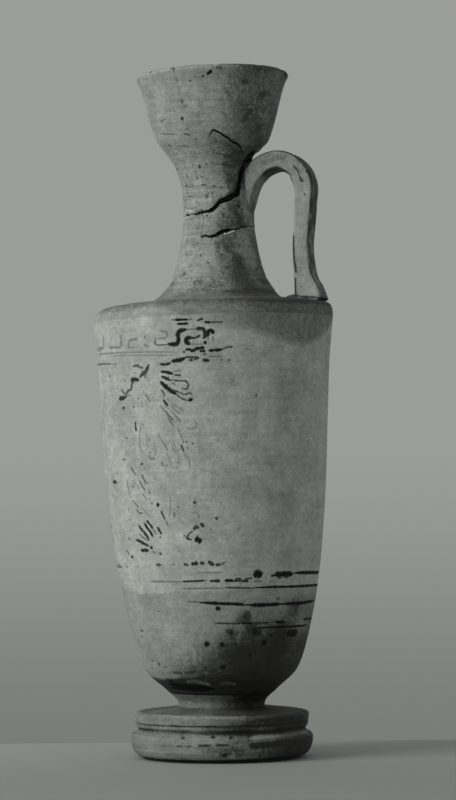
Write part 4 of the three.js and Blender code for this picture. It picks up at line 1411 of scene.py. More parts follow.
UPPER_LINES = [
    (1, 0.8, 174, 320, 179, 319.7, 188, 319.5), (0.5, 0.5, 188, 319.5, 192, 319),
    (1, 0.8, 177, 324, 188, 323.5), (0.9, 0.65, 197, 320.5, 203, 318.5), (1, 0.85, 205, 322, 210, 322.3),
    (0.65, 0.45, 210, 322.3, 223, 322), (1, 1, 186, 349.5, 191, 349.5), (1, 1.1, 191, 351, 195, 350),
    (1, 1.1, 195, 349, 204, 347.5), (1, 0.9, 200, 351, 205, 351), (0.9, 0.8, 183.4, 352, 184.8, 351.8),
    (1, 1, 209, 350.5, 214, 350.2, 222, 349.5), (0.75, 0.5, 222, 349.5, 226, 347.6, 233, 346.5),
    (0.8, 0.65, 203, 354.5, 206, 354), (1, 1.25, 172, 361.5, 176, 360.5, 180, 360, 185, 358),
    (0.9, 0.7, 185, 357, 199, 357.5), (0.9, 0.65, 189, 360, 193, 360), (0.9, 0.65, 194, 360, 199, 357.5),
    (0.95, 1, 203, 360, 209, 360.5), (0.65, 0.85, 220.4, 360, 221.8, 360),
    (0.65, 0.85, 228.2, 360, 229.8, 360), (0.95, 0.85, 160, 364, 165, 364.5, 171, 363),
    (0.65, 0.65, 97, 365, 103, 364, 112, 364), (0.4, 0.5, 112, 364, 117, 364),
    (0.4, 0.4, 97, 355, 112, 353, 140, 352, 182, 352), (0.35, 0.4, 113, 355.5, 175, 355),
    (0.5, 0.45, 207, 356.5, 222, 356), (0.4, 0.6, 244, 348, 250, 350),
]
LOWER_LINES = [
    (0.4, 0.4, 195, 572.5, 222, 572.5), (0.5, 0.45, 150, 581.5, 182, 581.5),
    (0.9, 0.75, 182, 581.5, 190, 581.3, 206, 580.5), (0.95, 0.85, 210, 581, 220, 580.8),
    (1, 1.05, 225, 580.5, 233, 580.5), (0.95, 0.8, 233, 581, 241, 580.5),
    (0.9, 0.7, 235, 579, 241, 578.5), (0.95, 0.75, 241, 581, 248, 581), (0.85, 0.7, 245, 579, 252, 578),
    (0.5, 0.5, 254, 581, 262, 581), (1, 2.2, 255.5, 576, 257.5, 573.4, 260, 575.6),
    (1, 1.85, 276, 574.3, 284, 574.1, 292, 574), (0.95, 0.8, 271, 576, 276, 575),
    (0.9, 0.8, 278, 577, 281, 578), (0.9, 0.7, 285, 577, 287.5, 577.6),
    (1, 1.1, 294, 573, 306, 572.6, 319, 572.5), (0.5, 0.45, 180, 588.5, 225, 588),
    (0.8, 0.6, 225, 587.5, 252, 588), (1, 0.8, 252, 588, 270, 587, 290, 586.5, 310, 585.5, 320, 584.5),
    (0.5, 0.45, 187, 601.5, 200, 602), (1, 1, 200, 602.5, 207, 602.8, 220, 603.5, 235, 604, 252, 605),
    (1, 1.25, 250, 605, 262, 605, 280, 604), (1, 1, 280, 604, 300, 603, 314, 600.5),
    (0.75, 0.55, 215, 623, 230, 623.5, 242, 623.2), (0.95, 0.7, 241, 623.2, 253, 623),
    (0.75, 0.5, 253, 623, 270, 622.5), (0.9, 0.9, 275, 622, 285, 622), (0.8, 0.9, 303, 619, 312, 618),
    (0.95, 0.65, 252, 628, 266, 627.5, 276, 627, 290, 626.5, 308, 625),
]
LOWER_SPOTS = [
    (1, 1.4, 216.6, 608.6, 219.4, 608.4), (0.55, 0.7, 157.8, 611.4, 159.4, 611.6),
    (0.55, 1.4, 277, 598.5, 279, 598.5), (0.6, 3.2, 245.4, 616, 248.6, 616.2),
    (0.55, 1.6, 226, 630.4, 232, 632.6), (0.65, 2.4, 254.4, 632, 259.6, 632),
    (0.75, 2.3, 288, 633.2, 296.4, 632.8), (0.55, 1.2, 269.6, 635, 272.4, 635),
    (1, 1.8, 205.8, 644, 208.2, 644), (0.95, 1.7, 221, 644.6, 223, 644.4),
    (0.55, 0.9, 234, 644, 236, 644), (0.9, 1.35, 262.4, 642.6, 265.8, 642.4),
    (0.75, 1.2, 249.2, 655, 250.8, 655), (0.85, 1.35, 221, 667.2, 225, 666.8),
    (0.6, 0.7, 140.4, 630.4, 143.8, 630.6), (0.4, 0.7, 141, 636.5, 143, 636.5),
    (0.55, 0.85, 151.8, 660.5, 153.2, 660.5), (0.65, 1.2, 158.6, 663, 160, 665),
    (0.45, 0.7, 165.2, 667, 166.8, 667), (0.45, 0.7, 151.8, 669, 153.2, 669),
    (0.6, 1.1, 173, 672.4, 182, 673), (0.55, 0.9, 184.5, 672.6, 190, 672.4, 196, 671),
    (1, 1.6, 170, 684.6, 180, 685.4, 192, 687, 204, 688, 213, 689),
    (1, 1, 172, 687.8, 184, 689, 196, 690, 208, 691), (0.8, 0.8, 169, 680.8, 173.5, 681),
]
FRONT_LINES = traced(KEY_MARKS + UPPER_LINES + LOWER_LINES + LOWER_SPOTS, BODY_OUTSIDE)
print(len(FRONT_LINES), "strokes of lines and key at the front")

# %% [markdown]
# ## Lines and key behind
# Behind, where nothing is known, the lines run on, and the key is a short list of corners that repeats
# every 17.6 degrees. All of it wears into runs.

# %% Lines and key behind
LINES_BEHIND = [
    (14, 150, 80.3, 1.2, 0.7), (16, 185, 74.6, 0.7, 0.7), (14, 200, 68.8, 0.9, 0.75),
    (60, 182, 172.4, 1.0, 0.7), (62, 180, 176.0, 0.9, 0.7), (95, 185, 188.6, 0.7, 0.5),
    (10, 120, 60.6, 0.6, 0.6), (62, 188, 170.4, 0.8, 0.5),
]
KEY_LOW, KEY_HIGH, KEY_PERIOD, KEY_END, KEY_REPEATS = 178.4, 184.4, 17.6, 195.0, 7
KEY_WIDTH, KEY_INK = 1.1, 0.72
KEY_UNIT = np.array([(0, 0), (0, 1), (0.76, 1), (0.76, 0.42), (0.21, 0.42), (0.21, 0), (1, 0)])


def lines_behind():
    """Worn runs of the ruled lines, with a slow waver, and of the regular key on the far side."""
    strokes = []
    for start, end, height, width, ink in LINES_BEHIND:
        bearing = np.linspace(start, end, 60)
        waver = height + 0.2 * np.sin(bearing * 0.11) + 0.12 * np.sin(bearing * 0.43 + height)
        strokes += worn_runs(*stroke(np.stack([bearing, waver], axis=-1), width, ink, 0.04), 201)
    for repeat in range(KEY_REPEATS):
        bearing = KEY_END - KEY_PERIOD * (repeat + 1 - KEY_UNIT[:, 0])
        height = KEY_LOW + (KEY_HIGH - KEY_LOW) * KEY_UNIT[:, 1]
        corners = np.stack([bearing, height], axis=-1)
        strokes += worn_runs(*stroke(corners, KEY_WIDTH, KEY_INK, 0.02, curved=False), 205)
    return strokes


paint("ruled_lines_and_key", FRONT_LINES + lines_behind(), body_skin, body_ground)

# %% [markdown]
# ## Palmettes
# Two palmettes stand heart to heart on one axis: the upper one hangs and the lower one stands. Each is a
# fan of petals drawn as loops with a leaf stroke in the bold ones. Thin tendrils join them, with a curl
# and a bud to the right, a wavy shoot to the left and a row of dots below.

# %% Palmettes
HANGING_PALMETTE = [
    (1, 0.9, 161, 371.8, 165, 371.9, 170, 373, 173, 374), (0.5, 0.55, 173, 371.8, 177, 371, 181, 370),
    (0.8, 0.55, 174, 374.8, 181, 375.3), (0.95, 0.85, 161.5, 376.3, 165, 377.8, 168.5, 379.5, 171, 381),
    (0.8, 0.55, 171, 379.5, 176, 380.5, 182, 380.8, 185.5, 381, 188, 383.5, 188.2, 386.5, 186, 389, 181,
     388),
    (0.55, 0.5, 172, 382.5, 176, 385), (1, 1.4, 161, 382, 164, 385, 168, 388.5, 172, 391.5, 176, 394),
    (0.85, 0.65, 171, 389.5, 175, 391, 179, 392), (1, 1.05, 189, 400.5, 192, 399),
    (0.75, 0.5, 179, 392, 184, 394.2, 188, 393.5, 190.5, 393, 192, 395.5),
    (0.75, 0.55, 176, 394, 181, 398, 186, 400, 189, 400.5),
    (0.7, 0.65, 160.5, 389.5, 163, 392, 165, 396.5), (0.95, 0.85, 163.5, 400, 165.5, 403, 168, 405.5),
    (0.4, 0.5, 167, 398, 169, 401), (0.55, 0.5, 160, 405, 165, 411, 170, 417, 173.5, 421),
    (0.55, 0.5, 164, 409, 168, 416, 171.5, 423, 174, 426), (0.55, 0.5, 166, 411, 170, 416, 174, 420),
    (0.45, 0.5, 171, 403, 176, 406, 184, 411), (0.4, 0.5, 170, 404.5, 175, 410, 180, 414),
    (0.45, 0.5, 172, 412, 177, 417, 181, 421), (0.55, 0.5, 169, 420, 173, 425),
    (0.4, 0.5, 174, 416, 181, 422), (0.4, 0.5, 178, 429, 180, 432),
    (0.45, 0.55, 187, 427, 191, 429, 196.5, 426, 194.5, 421), (0.4, 0.5, 162, 440, 168, 451),
    (0.4, 0.5, 171, 444, 175, 453), (0.75, 0.65, 181, 444.5, 184, 452), (0.35, 0.5, 184, 452, 186, 458),
    (0.55, 0.65, 185.5, 441, 187.5, 443), (0.65, 0.8, 191.8, 443.4, 193.2, 443.6),
    (0.4, 0.5, 187.5, 446, 188, 449), (0.45, 0.65, 174, 451, 175, 453),
]
SHOOT = [
    (0.7, 1, 133, 366.5, 137, 365.5, 140, 367, 143, 368),
    (0.85, 1.3, 148.5, 365, 147, 369, 145, 372.5, 142, 374.5, 140, 377),
    (0.55, 0.9, 146, 374.5, 145, 378), (0.95, 1.4, 138.5, 380, 135.5, 379.5, 132.5, 379.5, 133, 382.5),
    (0.75, 1, 132.5, 382, 131.5, 386, 131, 389.5, 128.5, 390.5, 126.8, 393, 125.8, 396.5, 124, 397.5,
     119.5, 398.5),
    (0.65, 1, 121.3, 389.5, 123, 392, 125, 394), (0.95, 1.3, 119.5, 398.6, 122, 398.3, 125.5, 397.3),
    (0.55, 0.7, 138, 397, 139, 399), (0.85, 1.2, 123, 407.8, 124.6, 407.8),
    (0.65, 0.8, 133.4, 407, 134.6, 407), (0.35, 0.5, 123, 379, 126, 382),
    (0.35, 0.6, 127.4, 375.4, 128.6, 375.6), (0.4, 0.6, 134.8, 372.4, 136.2, 372.6),
    (0.35, 0.6, 148.4, 380, 149.6, 380), (0.35, 0.5, 143, 390, 143.5, 393),
    (0.5, 0.5, 145, 394, 148, 398, 150, 402), (0.35, 0.5, 141, 402, 143, 408),
]
TENDRILS = [
    (0.95, 0.8, 135.5, 422, 135.8, 426, 136.3, 431), (0.4, 0.6, 109.4, 434.4, 110.8, 434.6),
    (0.55, 0.8, 126.4, 438, 127.8, 438), (0.35, 0.6, 131, 439, 132, 439), (0.4, 0.5, 133, 444, 135, 444),
    (0.6, 0.65, 149, 438, 150, 441), (0.6, 0.7, 149.6, 452, 150.4, 453),
    (0.35, 0.5, 141, 423, 143, 425, 145, 428), (0.55, 0.5, 148.5, 455, 150.5, 458, 152.5, 459, 155, 458),
    (0.35, 0.6, 141.6, 451.6, 142.4, 452.4), (0.55, 0.65, 123.5, 460.5, 126, 458.5),
    (0.7, 0.95, 141, 464.5, 143, 463.5), (0.35, 0.5, 145, 466, 146, 470),
    (0.55, 0.55, 162, 462, 163, 466), (0.4, 0.5, 164, 466, 168, 465),
    (0.4, 0.9, 177.4, 462.4, 178.6, 462.6), (0.65, 0.6, 131, 467, 133.5, 471, 136.5, 475.5),
    (0.4, 0.5, 140, 466, 140.5, 470), (0.7, 0.65, 142, 474.5, 144, 479, 146.5, 484),
    (0.5, 0.65, 148, 482, 149, 483), (0.6, 0.6, 139.5, 480.5, 142, 485, 145, 490.5),
    (0.9, 1.4, 113.5, 482, 116.5, 482), (0.4, 0.5, 127, 480, 128, 484, 129, 490, 131, 493),
    (0.45, 0.5, 132, 484, 134.5, 487.5), (0.35, 0.5, 133, 480, 136, 484), (0.35, 0.5, 137, 484, 139, 489),
    (0.5, 0.5, 148, 489, 150.5, 494), (0.35, 0.5, 142, 493, 147, 499), (0.45, 0.55, 113, 495, 115.5, 504),
    (0.5, 0.5, 116.5, 497, 117, 500), (0.45, 0.6, 149, 498.6, 150, 499.4),
    (0.55, 0.8, 151.4, 503.4, 152.6, 503.6), (0.95, 1.2, 157.2, 504.8, 158.8, 504.8),
    (0.9, 0.75, 161, 511, 163, 515, 165, 519.5), (0.5, 0.5, 165, 519.5, 167.5, 524, 168.5, 527),
    (0.6, 0.7, 174, 512, 174.5, 517), (0.6, 0.8, 177.4, 506.8, 178.6, 506.8),
    (0.85, 0.95, 194, 501.5, 195, 503.5), (0.45, 0.65, 194.6, 506.6, 195.4, 507.4),
    (0.5, 0.55, 133, 500, 136, 504, 139, 508), (0.6, 0.6, 136.5, 509, 139, 512.5, 143, 513.5),
    (0.4, 0.6, 128.4, 508.4, 129.6, 508.6), (0.45, 0.8, 129.4, 519.4, 130.6, 519.6),
    (0.4, 0.55, 191.5, 513.5, 196, 512, 199, 516, 196, 518),
]
FAINT_PETALS = [
    (0.35, 0.5, 141, 424, 139.6, 436, 140, 447, 142.5, 452),
    (0.3, 0.5, 145.6, 430, 147.2, 440, 147.6, 450), (0.3, 0.5, 153, 440, 155.4, 449, 155, 457),
    (0.35, 0.5, 177, 428, 181, 436, 184, 444), (0.3, 0.5, 172, 440, 176, 449, 179, 458, 181, 464),
    (0.3, 0.5, 186, 452, 189, 461, 190, 468), (0.3, 0.5, 172, 466, 175.6, 468.4, 179.4, 466.6),
    (0.3, 0.5, 166, 452, 170, 460, 172, 466), (0.3, 0.5, 128, 492, 132, 498),
    (0.3, 0.5, 140, 505, 146, 512, 150, 518), (0.3, 0.5, 170, 495, 170.5, 505, 169, 516),
    (0.3, 0.5, 158, 432, 160, 438, 162, 440), (0.3, 0.5, 163, 405, 169, 409, 176, 416),
]
STANDING_PALMETTE = [
    (0.95, 0.85, 147, 520.5, 150, 524.5, 153, 528.5), (0.55, 0.5, 153, 528.5, 156, 534),
    (1, 0.9, 144.5, 523.5, 147.5, 528, 150.5, 532, 153, 536.5),
    (0.95, 0.9, 138.5, 525, 141.5, 529, 144, 532, 147, 536, 149, 540),
    (0.55, 0.65, 139.5, 534, 143, 537, 147, 541), (0.55, 0.5, 146, 536, 149, 541),
    (0.95, 0.9, 157.5, 527, 159.5, 530.5, 161.5, 534), (0.55, 0.7, 160, 536.6, 161, 537.4),
    (0.95, 0.95, 136.5, 540, 140, 541.2, 144, 543.5, 149, 546),
    (0.95, 1.15, 141.5, 550.5, 145, 550.2, 148.5, 550.5), (1, 1.05, 150.8, 547.6, 152.2, 547.6),
    (0.5, 0.55, 153, 551, 156, 553.5), (0.8, 1.05, 159.8, 553.8, 161.2, 553.8),
    (0.65, 0.65, 126.5, 550, 128.5, 553, 129.5, 556), (0.9, 1.15, 131.8, 556.8, 133.2, 556.8),
    (0.4, 0.6, 130.4, 530.2, 131.6, 530.4),
]
CURL = [
    (0.9, 1.05, 201, 523.5, 203.5, 526.5), (0.85, 1.15, 194, 529.5, 196, 526.5, 198, 528),
    (0.8, 0.65, 193, 531, 189.5, 533.5, 187, 537, 188.5, 539, 192, 539.8),
    (0.9, 0.85, 186.5, 537.5, 189, 539.5), (1, 2, 196.5, 539, 200, 541),
    (0.45, 0.7, 210, 528.8, 211, 529.2), (0.35, 0.6, 176.4, 547.4, 177.6, 547.6),
    (0.35, 0.6, 178.4, 551.4, 179.6, 551.6),
]
DOT_ROW = [
    (0.55, 0.95, 117, 566.5, 122, 567), (0.55, 0.7, 125, 563.5, 126.5, 566, 128, 568),
    (0.35, 0.5, 137, 567, 139, 566), (0.8, 1.05, 156.5, 564.8, 160.5, 564.8),
    (0.6, 0.9, 172.8, 564, 174.2, 564), (0.8, 0.95, 184, 564, 188, 565),
    (0.95, 1.3, 192, 564, 197, 563.2), (0.9, 0.95, 200.5, 562.8, 204, 563.5),
    (0.9, 1.15, 208.5, 561.5, 210.5, 563, 213.5, 565), (0.9, 0.9, 216, 565, 220, 564.5),
    (0.65, 0.55, 221, 564.5, 225, 562),
]
FRONT_MARKS = HANGING_PALMETTE + SHOOT + TENDRILS + FAINT_PETALS + STANDING_PALMETTE + CURL + DOT_ROW
FRONT_MOTIF = traced(FRONT_MARKS, BODY_OUTSIDE)
print(len(FRONT_MOTIF), "strokes of the palmettes at the front")

# %% [markdown]
# ## Palmettes behind
# The motif repeats twice behind, where it is guessed, with a share of its ink and more wear.

# %% Palmettes behind
MOTIF_REPEATS = {208: 0.85, 284: 0.85}


def motif_behind(shift, share):
    """The front's strokes turned by `shift` degrees, with a share of their ink, worn afresh."""
    turned = [(line + [shift, 0], width, ink * share) for line, width, ink in FRONT_MOTIF]
    return [run for line, width, ink in turned for run in worn_runs(line, width, ink, 301)]


MOTIFS_BEHIND = [run for shift, share in MOTIF_REPEATS.items() for run in motif_behind(shift, share)]
paint("palmettes_and_tendrils", FRONT_MOTIF + MOTIFS_BEHIND, body_skin, body_ground)

# %% [markdown]
# ## Nicks on neck and mouth
# The neck and mouth have small nicks and scratches that filled with soil. They are strokes as well, noted
# on the picture and carried to the wall of the neck.

# %% Nicks on neck and mouth
NICKS = [
    (1, 0.9, 207, 74.5, 211.5, 70.5), (0.7, 1, 181.4, 101.4, 182.8, 101.6),
    (0.85, 1.1, 180.8, 118.4, 183.4, 118.6), (0.35, 0.6, 160, 133.5, 169, 134, 178, 134),
    (0.55, 0.8, 184, 133.5, 190, 135), (0.45, 0.6, 160, 122, 166, 119), (0.55, 0.9, 168, 145, 172, 146.5),
    (0.35, 0.6, 176, 146, 190, 146), (0.5, 1.1, 216, 67.2, 222, 67.6), (0.9, 1.3, 284.6, 74, 286, 74.6),
    (0.65, 0.7, 201, 186, 203.5, 184.6, 206.5, 185.2), (0.55, 0.8, 212, 185.6, 216, 186.4),
    (0.5, 0.7, 218.4, 187, 222, 187.6), (0.6, 0.9, 176.6, 169, 178, 169),
    (0.85, 1.2, 198.6, 166.4, 200.6, 166.8), (0.65, 1, 196.4, 178, 197.8, 178),
    (0.55, 1.1, 223.5, 170, 226, 173, 227, 175), (0.5, 0.7, 188, 196, 193, 197),
    (0.45, 0.7, 206, 262, 210, 263), (0.45, 0.7, 196, 281, 203, 282), (0.5, 0.8, 222, 214, 224, 217),
    (0.5, 0.8, 236, 205, 240, 207),
]


def neck_skin(bearing, height):
    """Radius of the outside of neck and mouth with its relief."""
    return NECK_OUTSIDE(height) + neck_relief(bearing, height)


def neck_ground(bearing, height):
    """The grey level of the wall of neck and mouth."""
    return ground(neck_fields(bearing, height), 0.3, 0.29, 0.055)


paint("soiled_nicks", traced(NICKS, NECK_OUTSIDE), neck_skin, neck_ground)

# %% [markdown]
# ## Node helpers
# A material is a chain of nodes. Each helper adds one node and gives its result, so that chains read as
# sums.

# %% Node helpers
def put(tree, kind, inputs, **settings):
    """Adds a node with settings; an input takes a link from a socket or a plain value."""
    made = tree.nodes.new(kind)
    for key, value in settings.items():
        setattr(made, key, value)
    for key, value in inputs.items():
        if isinstance(value, bpy.types.NodeSocket):
            tree.links.new(value, made.inputs[key])
        else:
            made.inputs[key].default_value = value
    return made


def maths(tree, operation, a, b=0.0, c=0.0):
    """One Math node's result."""
    return put(tree, "ShaderNodeMath", {0: a, 1: b, 2: c}, operation=operation).outputs[0]


def times(tree, a, b):
    """The product of two sockets or values."""
    return maths(tree, "MULTIPLY", a, b)


def between(tree, value, low, high, to_low=0.0, to_high=1.0):
    """A smooth step from one value to another."""
    inputs = {"Value": value, "From Min": low, "From Max": high, "To Min": to_low, "To Max": to_high}
    return put(tree, "ShaderNodeMapRange", inputs, interpolation_type="SMOOTHSTEP").outputs[0]


def mixed(tree, factor, a, b):
    """One colour mixed into another."""
    return put(tree, "ShaderNodeMix", {0: factor, 6: a, 7: b}, data_type="RGBA").outputs[2]


def noise(tree, place, scale, detail=3.0, rough=0.55):
    """Noise from 0 to 1 at a place; scale is in cells to the metre."""
    inputs = {"Vector": place, "Scale": scale, "Detail": detail, "Roughness": rough}
    return put(tree, "ShaderNodeTexNoise", inputs).outputs["Fac"]


def object_place(tree):
    """The place of the shaded point in the object's own metres."""
    return put(tree, "ShaderNodeTexCoord", {}).outputs["Object"]


print("node helpers ready")

# %% [markdown]
# ## Shared effects
# Fired clay gets its look from a few effects that return on every piece: glaze that flaked where it was
# thin, soil in the pores, dark specks, and a fine grain. Each is a node group with its own inputs and
# gives a mask or a normal, so a finish is a short chain of mixes. Constant values stay on the shader
# itself.

# %% Shared effects
SPECK_WARP = 0.0012


def effect(name, inputs, output="Mask", kind="NodeSocketFloat"):
    """An empty node group with float inputs: its tree, inputs, result's socket and place."""
    tree = bpy.data.node_groups.new(name, "ShaderNodeTree")
    for socket, value in inputs.items():
        made = tree.interface.new_socket(socket, in_out="INPUT", socket_type="NodeSocketFloat")
        made.default_value = value
    tree.interface.new_socket(output, in_out="OUTPUT", socket_type=kind)
    start, end = tree.nodes.new("NodeGroupInput"), tree.nodes.new("NodeGroupOutput")
    return tree, start.outputs, end.inputs[output], object_place(tree)


def flaked_coat():
    """Coverage against noise of two sizes: 1 where the coat is left."""
    inputs = {"Coverage": 0.5, "Grain": 300.0, "Softness": 0.2, "Contrast": 2.2}
    tree, given, result, place = effect("flaked coat", inputs)
    broad = noise(tree, place, given["Grain"], 4.0, 0.62)
    fine = noise(tree, place, times(tree, given["Grain"], 4.5), 2.0, 0.5)
    both = maths(tree, "ADD", times(tree, broad, 0.62), times(tree, fine, 0.38))
    centred = maths(tree, "SUBTRACT", both, 0.5)
    level = maths(tree, "MULTIPLY_ADD", centred, given["Contrast"], given["Coverage"])
    low, high = maths(tree, "SUBTRACT", 0.5, given["Softness"]), maths(tree, "ADD", 0.5, given["Softness"])
    tree.links.new(between(tree, level, low, high), result)
    return tree


def soiling():
    """Soil in clouds and in fine pores, from 0 to 1, scaled by its amount."""
    tree, given, result, place = effect("soiling", {"Amount": 0.4})
    cloud = between(tree, noise(tree, place, 55.0, 5.0, 0.6), 0.36, 0.72)
    pores = between(tree, noise(tree, place, 900.0, 2.0, 0.6), 0.45, 0.75)
    both = maths(tree, "ADD", times(tree, cloud, 0.75), times(tree, pores, 0.5))
    tree.links.new(times(tree, both, given["Amount"]), result)
    return tree


def specks():
    """Small dark spots: cells whose own random value is low, drawn as soft discs of different sizes."""
    tree, given, result, place = effect("specks", {"Cells": 260.0, "Share": 0.2, "Radius": 0.3})
    warp = put(tree, "ShaderNodeTexNoise", {"Vector": place, "Scale": 700.0, "Detail": 2.0})
    moved = {0: warp.outputs["Color"], 1: (SPECK_WARP,) * 3, 2: place}
    moved = put(tree, "ShaderNodeVectorMath", moved, operation="MULTIPLY_ADD").outputs[0]
    cells = put(tree, "ShaderNodeTexVoronoi", {"Vector": moved, "Scale": given["Cells"]})
    pick = put(tree, "ShaderNodeSeparateColor", {0: cells.outputs["Color"]}).outputs
    chosen = maths(tree, "LESS_THAN", pick[0], given["Share"])
    size = times(tree, given["Radius"], maths(tree, "MULTIPLY_ADD", pick[1], 0.8, 0.3))
    disc = between(tree, cells.outputs["Distance"], times(tree, size, 0.55), size, 1.0, 0.0)
    tree.links.new(times(tree, chosen, disc), result)
    return tree


def clay_grain():
    """A normal from two sizes of grain and the edge of a coat; Depth is in metres."""
    inputs = {"Depth": 0.0001, "Coat": 0.0}
    tree, given, result, place = effect("clay grain", inputs, "Normal", "NodeSocketVector")
    grit = times(tree, noise(tree, place, 1500.0, 3.0, 0.65), 0.8)
    lump = noise(tree, place, 380.0, 3.0, 0.6)
    coat = times(tree, given["Coat"], 0.35)
    height = maths(tree, "ADD", maths(tree, "ADD", grit, lump), coat)
    bump = put(tree, "ShaderNodeBump", {"Height": height, "Distance": given["Depth"], "Strength": 0.9})
    tree.links.new(bump.outputs[0], result)
    return tree


EFFECTS = {"flaked": flaked_coat(), "soil": soiling(), "specks": specks(), "grain": clay_grain()}
print("effects", list(EFFECTS))

# %% [markdown]
# ## Pottery finishes
# One builder makes every pottery finish: clay, pale slip inside its edge, dark glaze where it is left and
# painted shade with it, soil and specks on top, and plain clay on breaks and in the bore, which on neck and
# mouth is nearly black as painted shade. The colours are nearly grey, because the picture that the jar is
# known from is.

# %% Pottery finishes
PICTURE_TINT = (0.968, 1.012, 0.932)
SPECK_GREY, SOIL_GREY, INK_GREY = 0.04, 0.085, 0.008


def use(tree, name, **inputs):
    """A shared effect's result in a tree."""
    return put(tree, "ShaderNodeGroup", inputs, node_tree=EFFECTS[name]).outputs[0]


def new_material(name):
    """An empty material with a Principled shader to fill."""
    made = bpy.data.materials.new(name)
    made.use_nodes = True
    return made, made.node_tree, made.node_tree.nodes["Principled BSDF"]


def field(tree, name):
    """A point attribute's value."""
    return put(tree, "ShaderNodeAttribute", {}, attribute_name=name).outputs["Fac"]


def grey(level):
    """A nearly neutral colour: the level in the faint green grey of the picture."""
    return (*(level * share for share in PICTURE_TINT), 1.0)


def pottery(
    name, clay, slip, glaze,
    core=0.2, soil=0.6, spotted=0.06, depth=0.0002, grain=700.0, contrast=1.8, streaked=0.05,
):
    """Clay, slip, glaze, soil and specks, streaked round by the wheel; breaks and bore show the core grey.
    """
    made, tree, shader = new_material(name)
    place = object_place(tree)
    tone = between(tree, noise(tree, place, 90.0, 5.0, 0.65), 0.28, 0.72, 0.84, 1.14)
    cloud = between(tree, noise(tree, place, 330.0, 4.0, 0.65), 0.28, 0.72, 0.88, 1.12)
    fine = between(tree, noise(tree, place, 1300.0, 3.0, 0.7), 0.25, 0.75, 0.8, 1.2)
    flattened = put(tree, "ShaderNodeMapping", {"Vector": place, "Scale": (1.0, 1.0, 11.0)}).outputs[0]
    streak = between(tree, noise(tree, flattened, 70.0, 4.0, 0.65), 0.3, 0.7, 1 - streaked, 1 + streaked)
    ragged_edge = times(tree, maths(tree, "SUBTRACT", noise(tree, place, 420.0, 4.0, 0.7), 0.5), 3.6)
    slip_mask = between(tree, maths(tree, "ADD", field(tree, "slip"), ragged_edge), *SLIP_EDGE)
    kept = use(tree, "flaked", Coverage=field(tree, "glaze"), Grain=grain, Softness=0.42, Contrast=contrast)
    # This mask holds the painted shade of the fields as well as the glaze.
    glaze_mask = times(tree, kept, maths(tree, "MULTIPLY_ADD", slip_mask, -0.85, 1.0))
    colour = mixed(tree, slip_mask, grey(clay), grey(slip))
    colour = mixed(tree, glaze_mask, colour, grey(glaze))
    spots = use(tree, "specks", Share=spotted, Cells=360.0, Radius=0.34)
    colour = mixed(tree, times(tree, spots, 0.85), colour, grey(SPECK_GREY))
    soil_mask = use(tree, "soil", Amount=times(tree, field(tree, "soil"), soil))
    colour = mixed(tree, soil_mask, colour, grey(SOIL_GREY))
    # The core grey on breaks and bore; on neck and mouth it is nearly black, painted shade in the gaps and
    # inside.
    colour = mixed(tree, field(tree, "bare"), colour, grey(core))
    varied = times(tree, times(tree, tone, cloud), times(tree, fine, streak))
    toned = put(tree, "ShaderNodeVectorMath", {0: colour, "Scale": varied}, operation="SCALE")
    tree.links.new(toned.outputs[0], shader.inputs["Base Color"])
    tree.links.new(between(tree, glaze_mask, 0.0, 1.0, 0.9, 0.62), shader.inputs["Roughness"])
    tree.links.new(use(tree, "grain", Depth=depth, Coat=glaze_mask), shader.inputs["Normal"])
    shader.inputs["Specular IOR Level"].default_value = 0.17
    return made


print("pottery tint", PICTURE_TINT)

# %% [markdown]
# ## Paint and fillers
# Paint, plaster and glue are simpler: two greys, mixed by a mask.

# %% Paint and fillers
def brush_paint():
    """Dark paint: the ink sets how dark a stroke is, and at its sides and in flakes the ground shows."""
    made, tree, shader = new_material("brush paint")
    ink = field(tree, "ink")
    left = maths(tree, "MULTIPLY_ADD", ink, 0.6, 0.4)
    worn = use(tree, "flaked", Coverage=left, Grain=1100.0, Softness=0.3, Contrast=2.0)
    under = {0: PICTURE_TINT, "Scale": field(tree, "ground")}
    under = put(tree, "ShaderNodeVectorMath", under, operation="SCALE").outputs[0]
    colour = mixed(tree, times(tree, worn, ink), under, grey(INK_GREY))
    tree.links.new(colour, shader.inputs["Base Color"])
    shader.inputs["Roughness"].default_value = 0.8
    shader.inputs["Specular IOR Level"].default_value = 0.15
    return made


def plain_filler(name, light, dark, rough, depth):
    """Plaster or glue: two tones by noise and a coarse grain."""
    made, tree, shader = new_material(name)
    tone = between(tree, noise(tree, object_place(tree), 500.0, 4.0, 0.6), 0.35, 0.7)
    tree.links.new(mixed(tree, tone, grey(light), grey(dark)), shader.inputs["Base Color"])
    tree.links.new(use(tree, "grain", Depth=depth, Coat=0.0), shader.inputs["Normal"])
    shader.inputs["Roughness"].default_value = rough
    return made


print("effects in use", [group.name for group in bpy.data.node_groups])

# %% [markdown]
# ## Which piece wears what
# Each finish has its own greys and amounts. The sherds of the neck are more spotted than the mouth, and
# the two rings of slip that stay plain solids get the slip of the lutes.

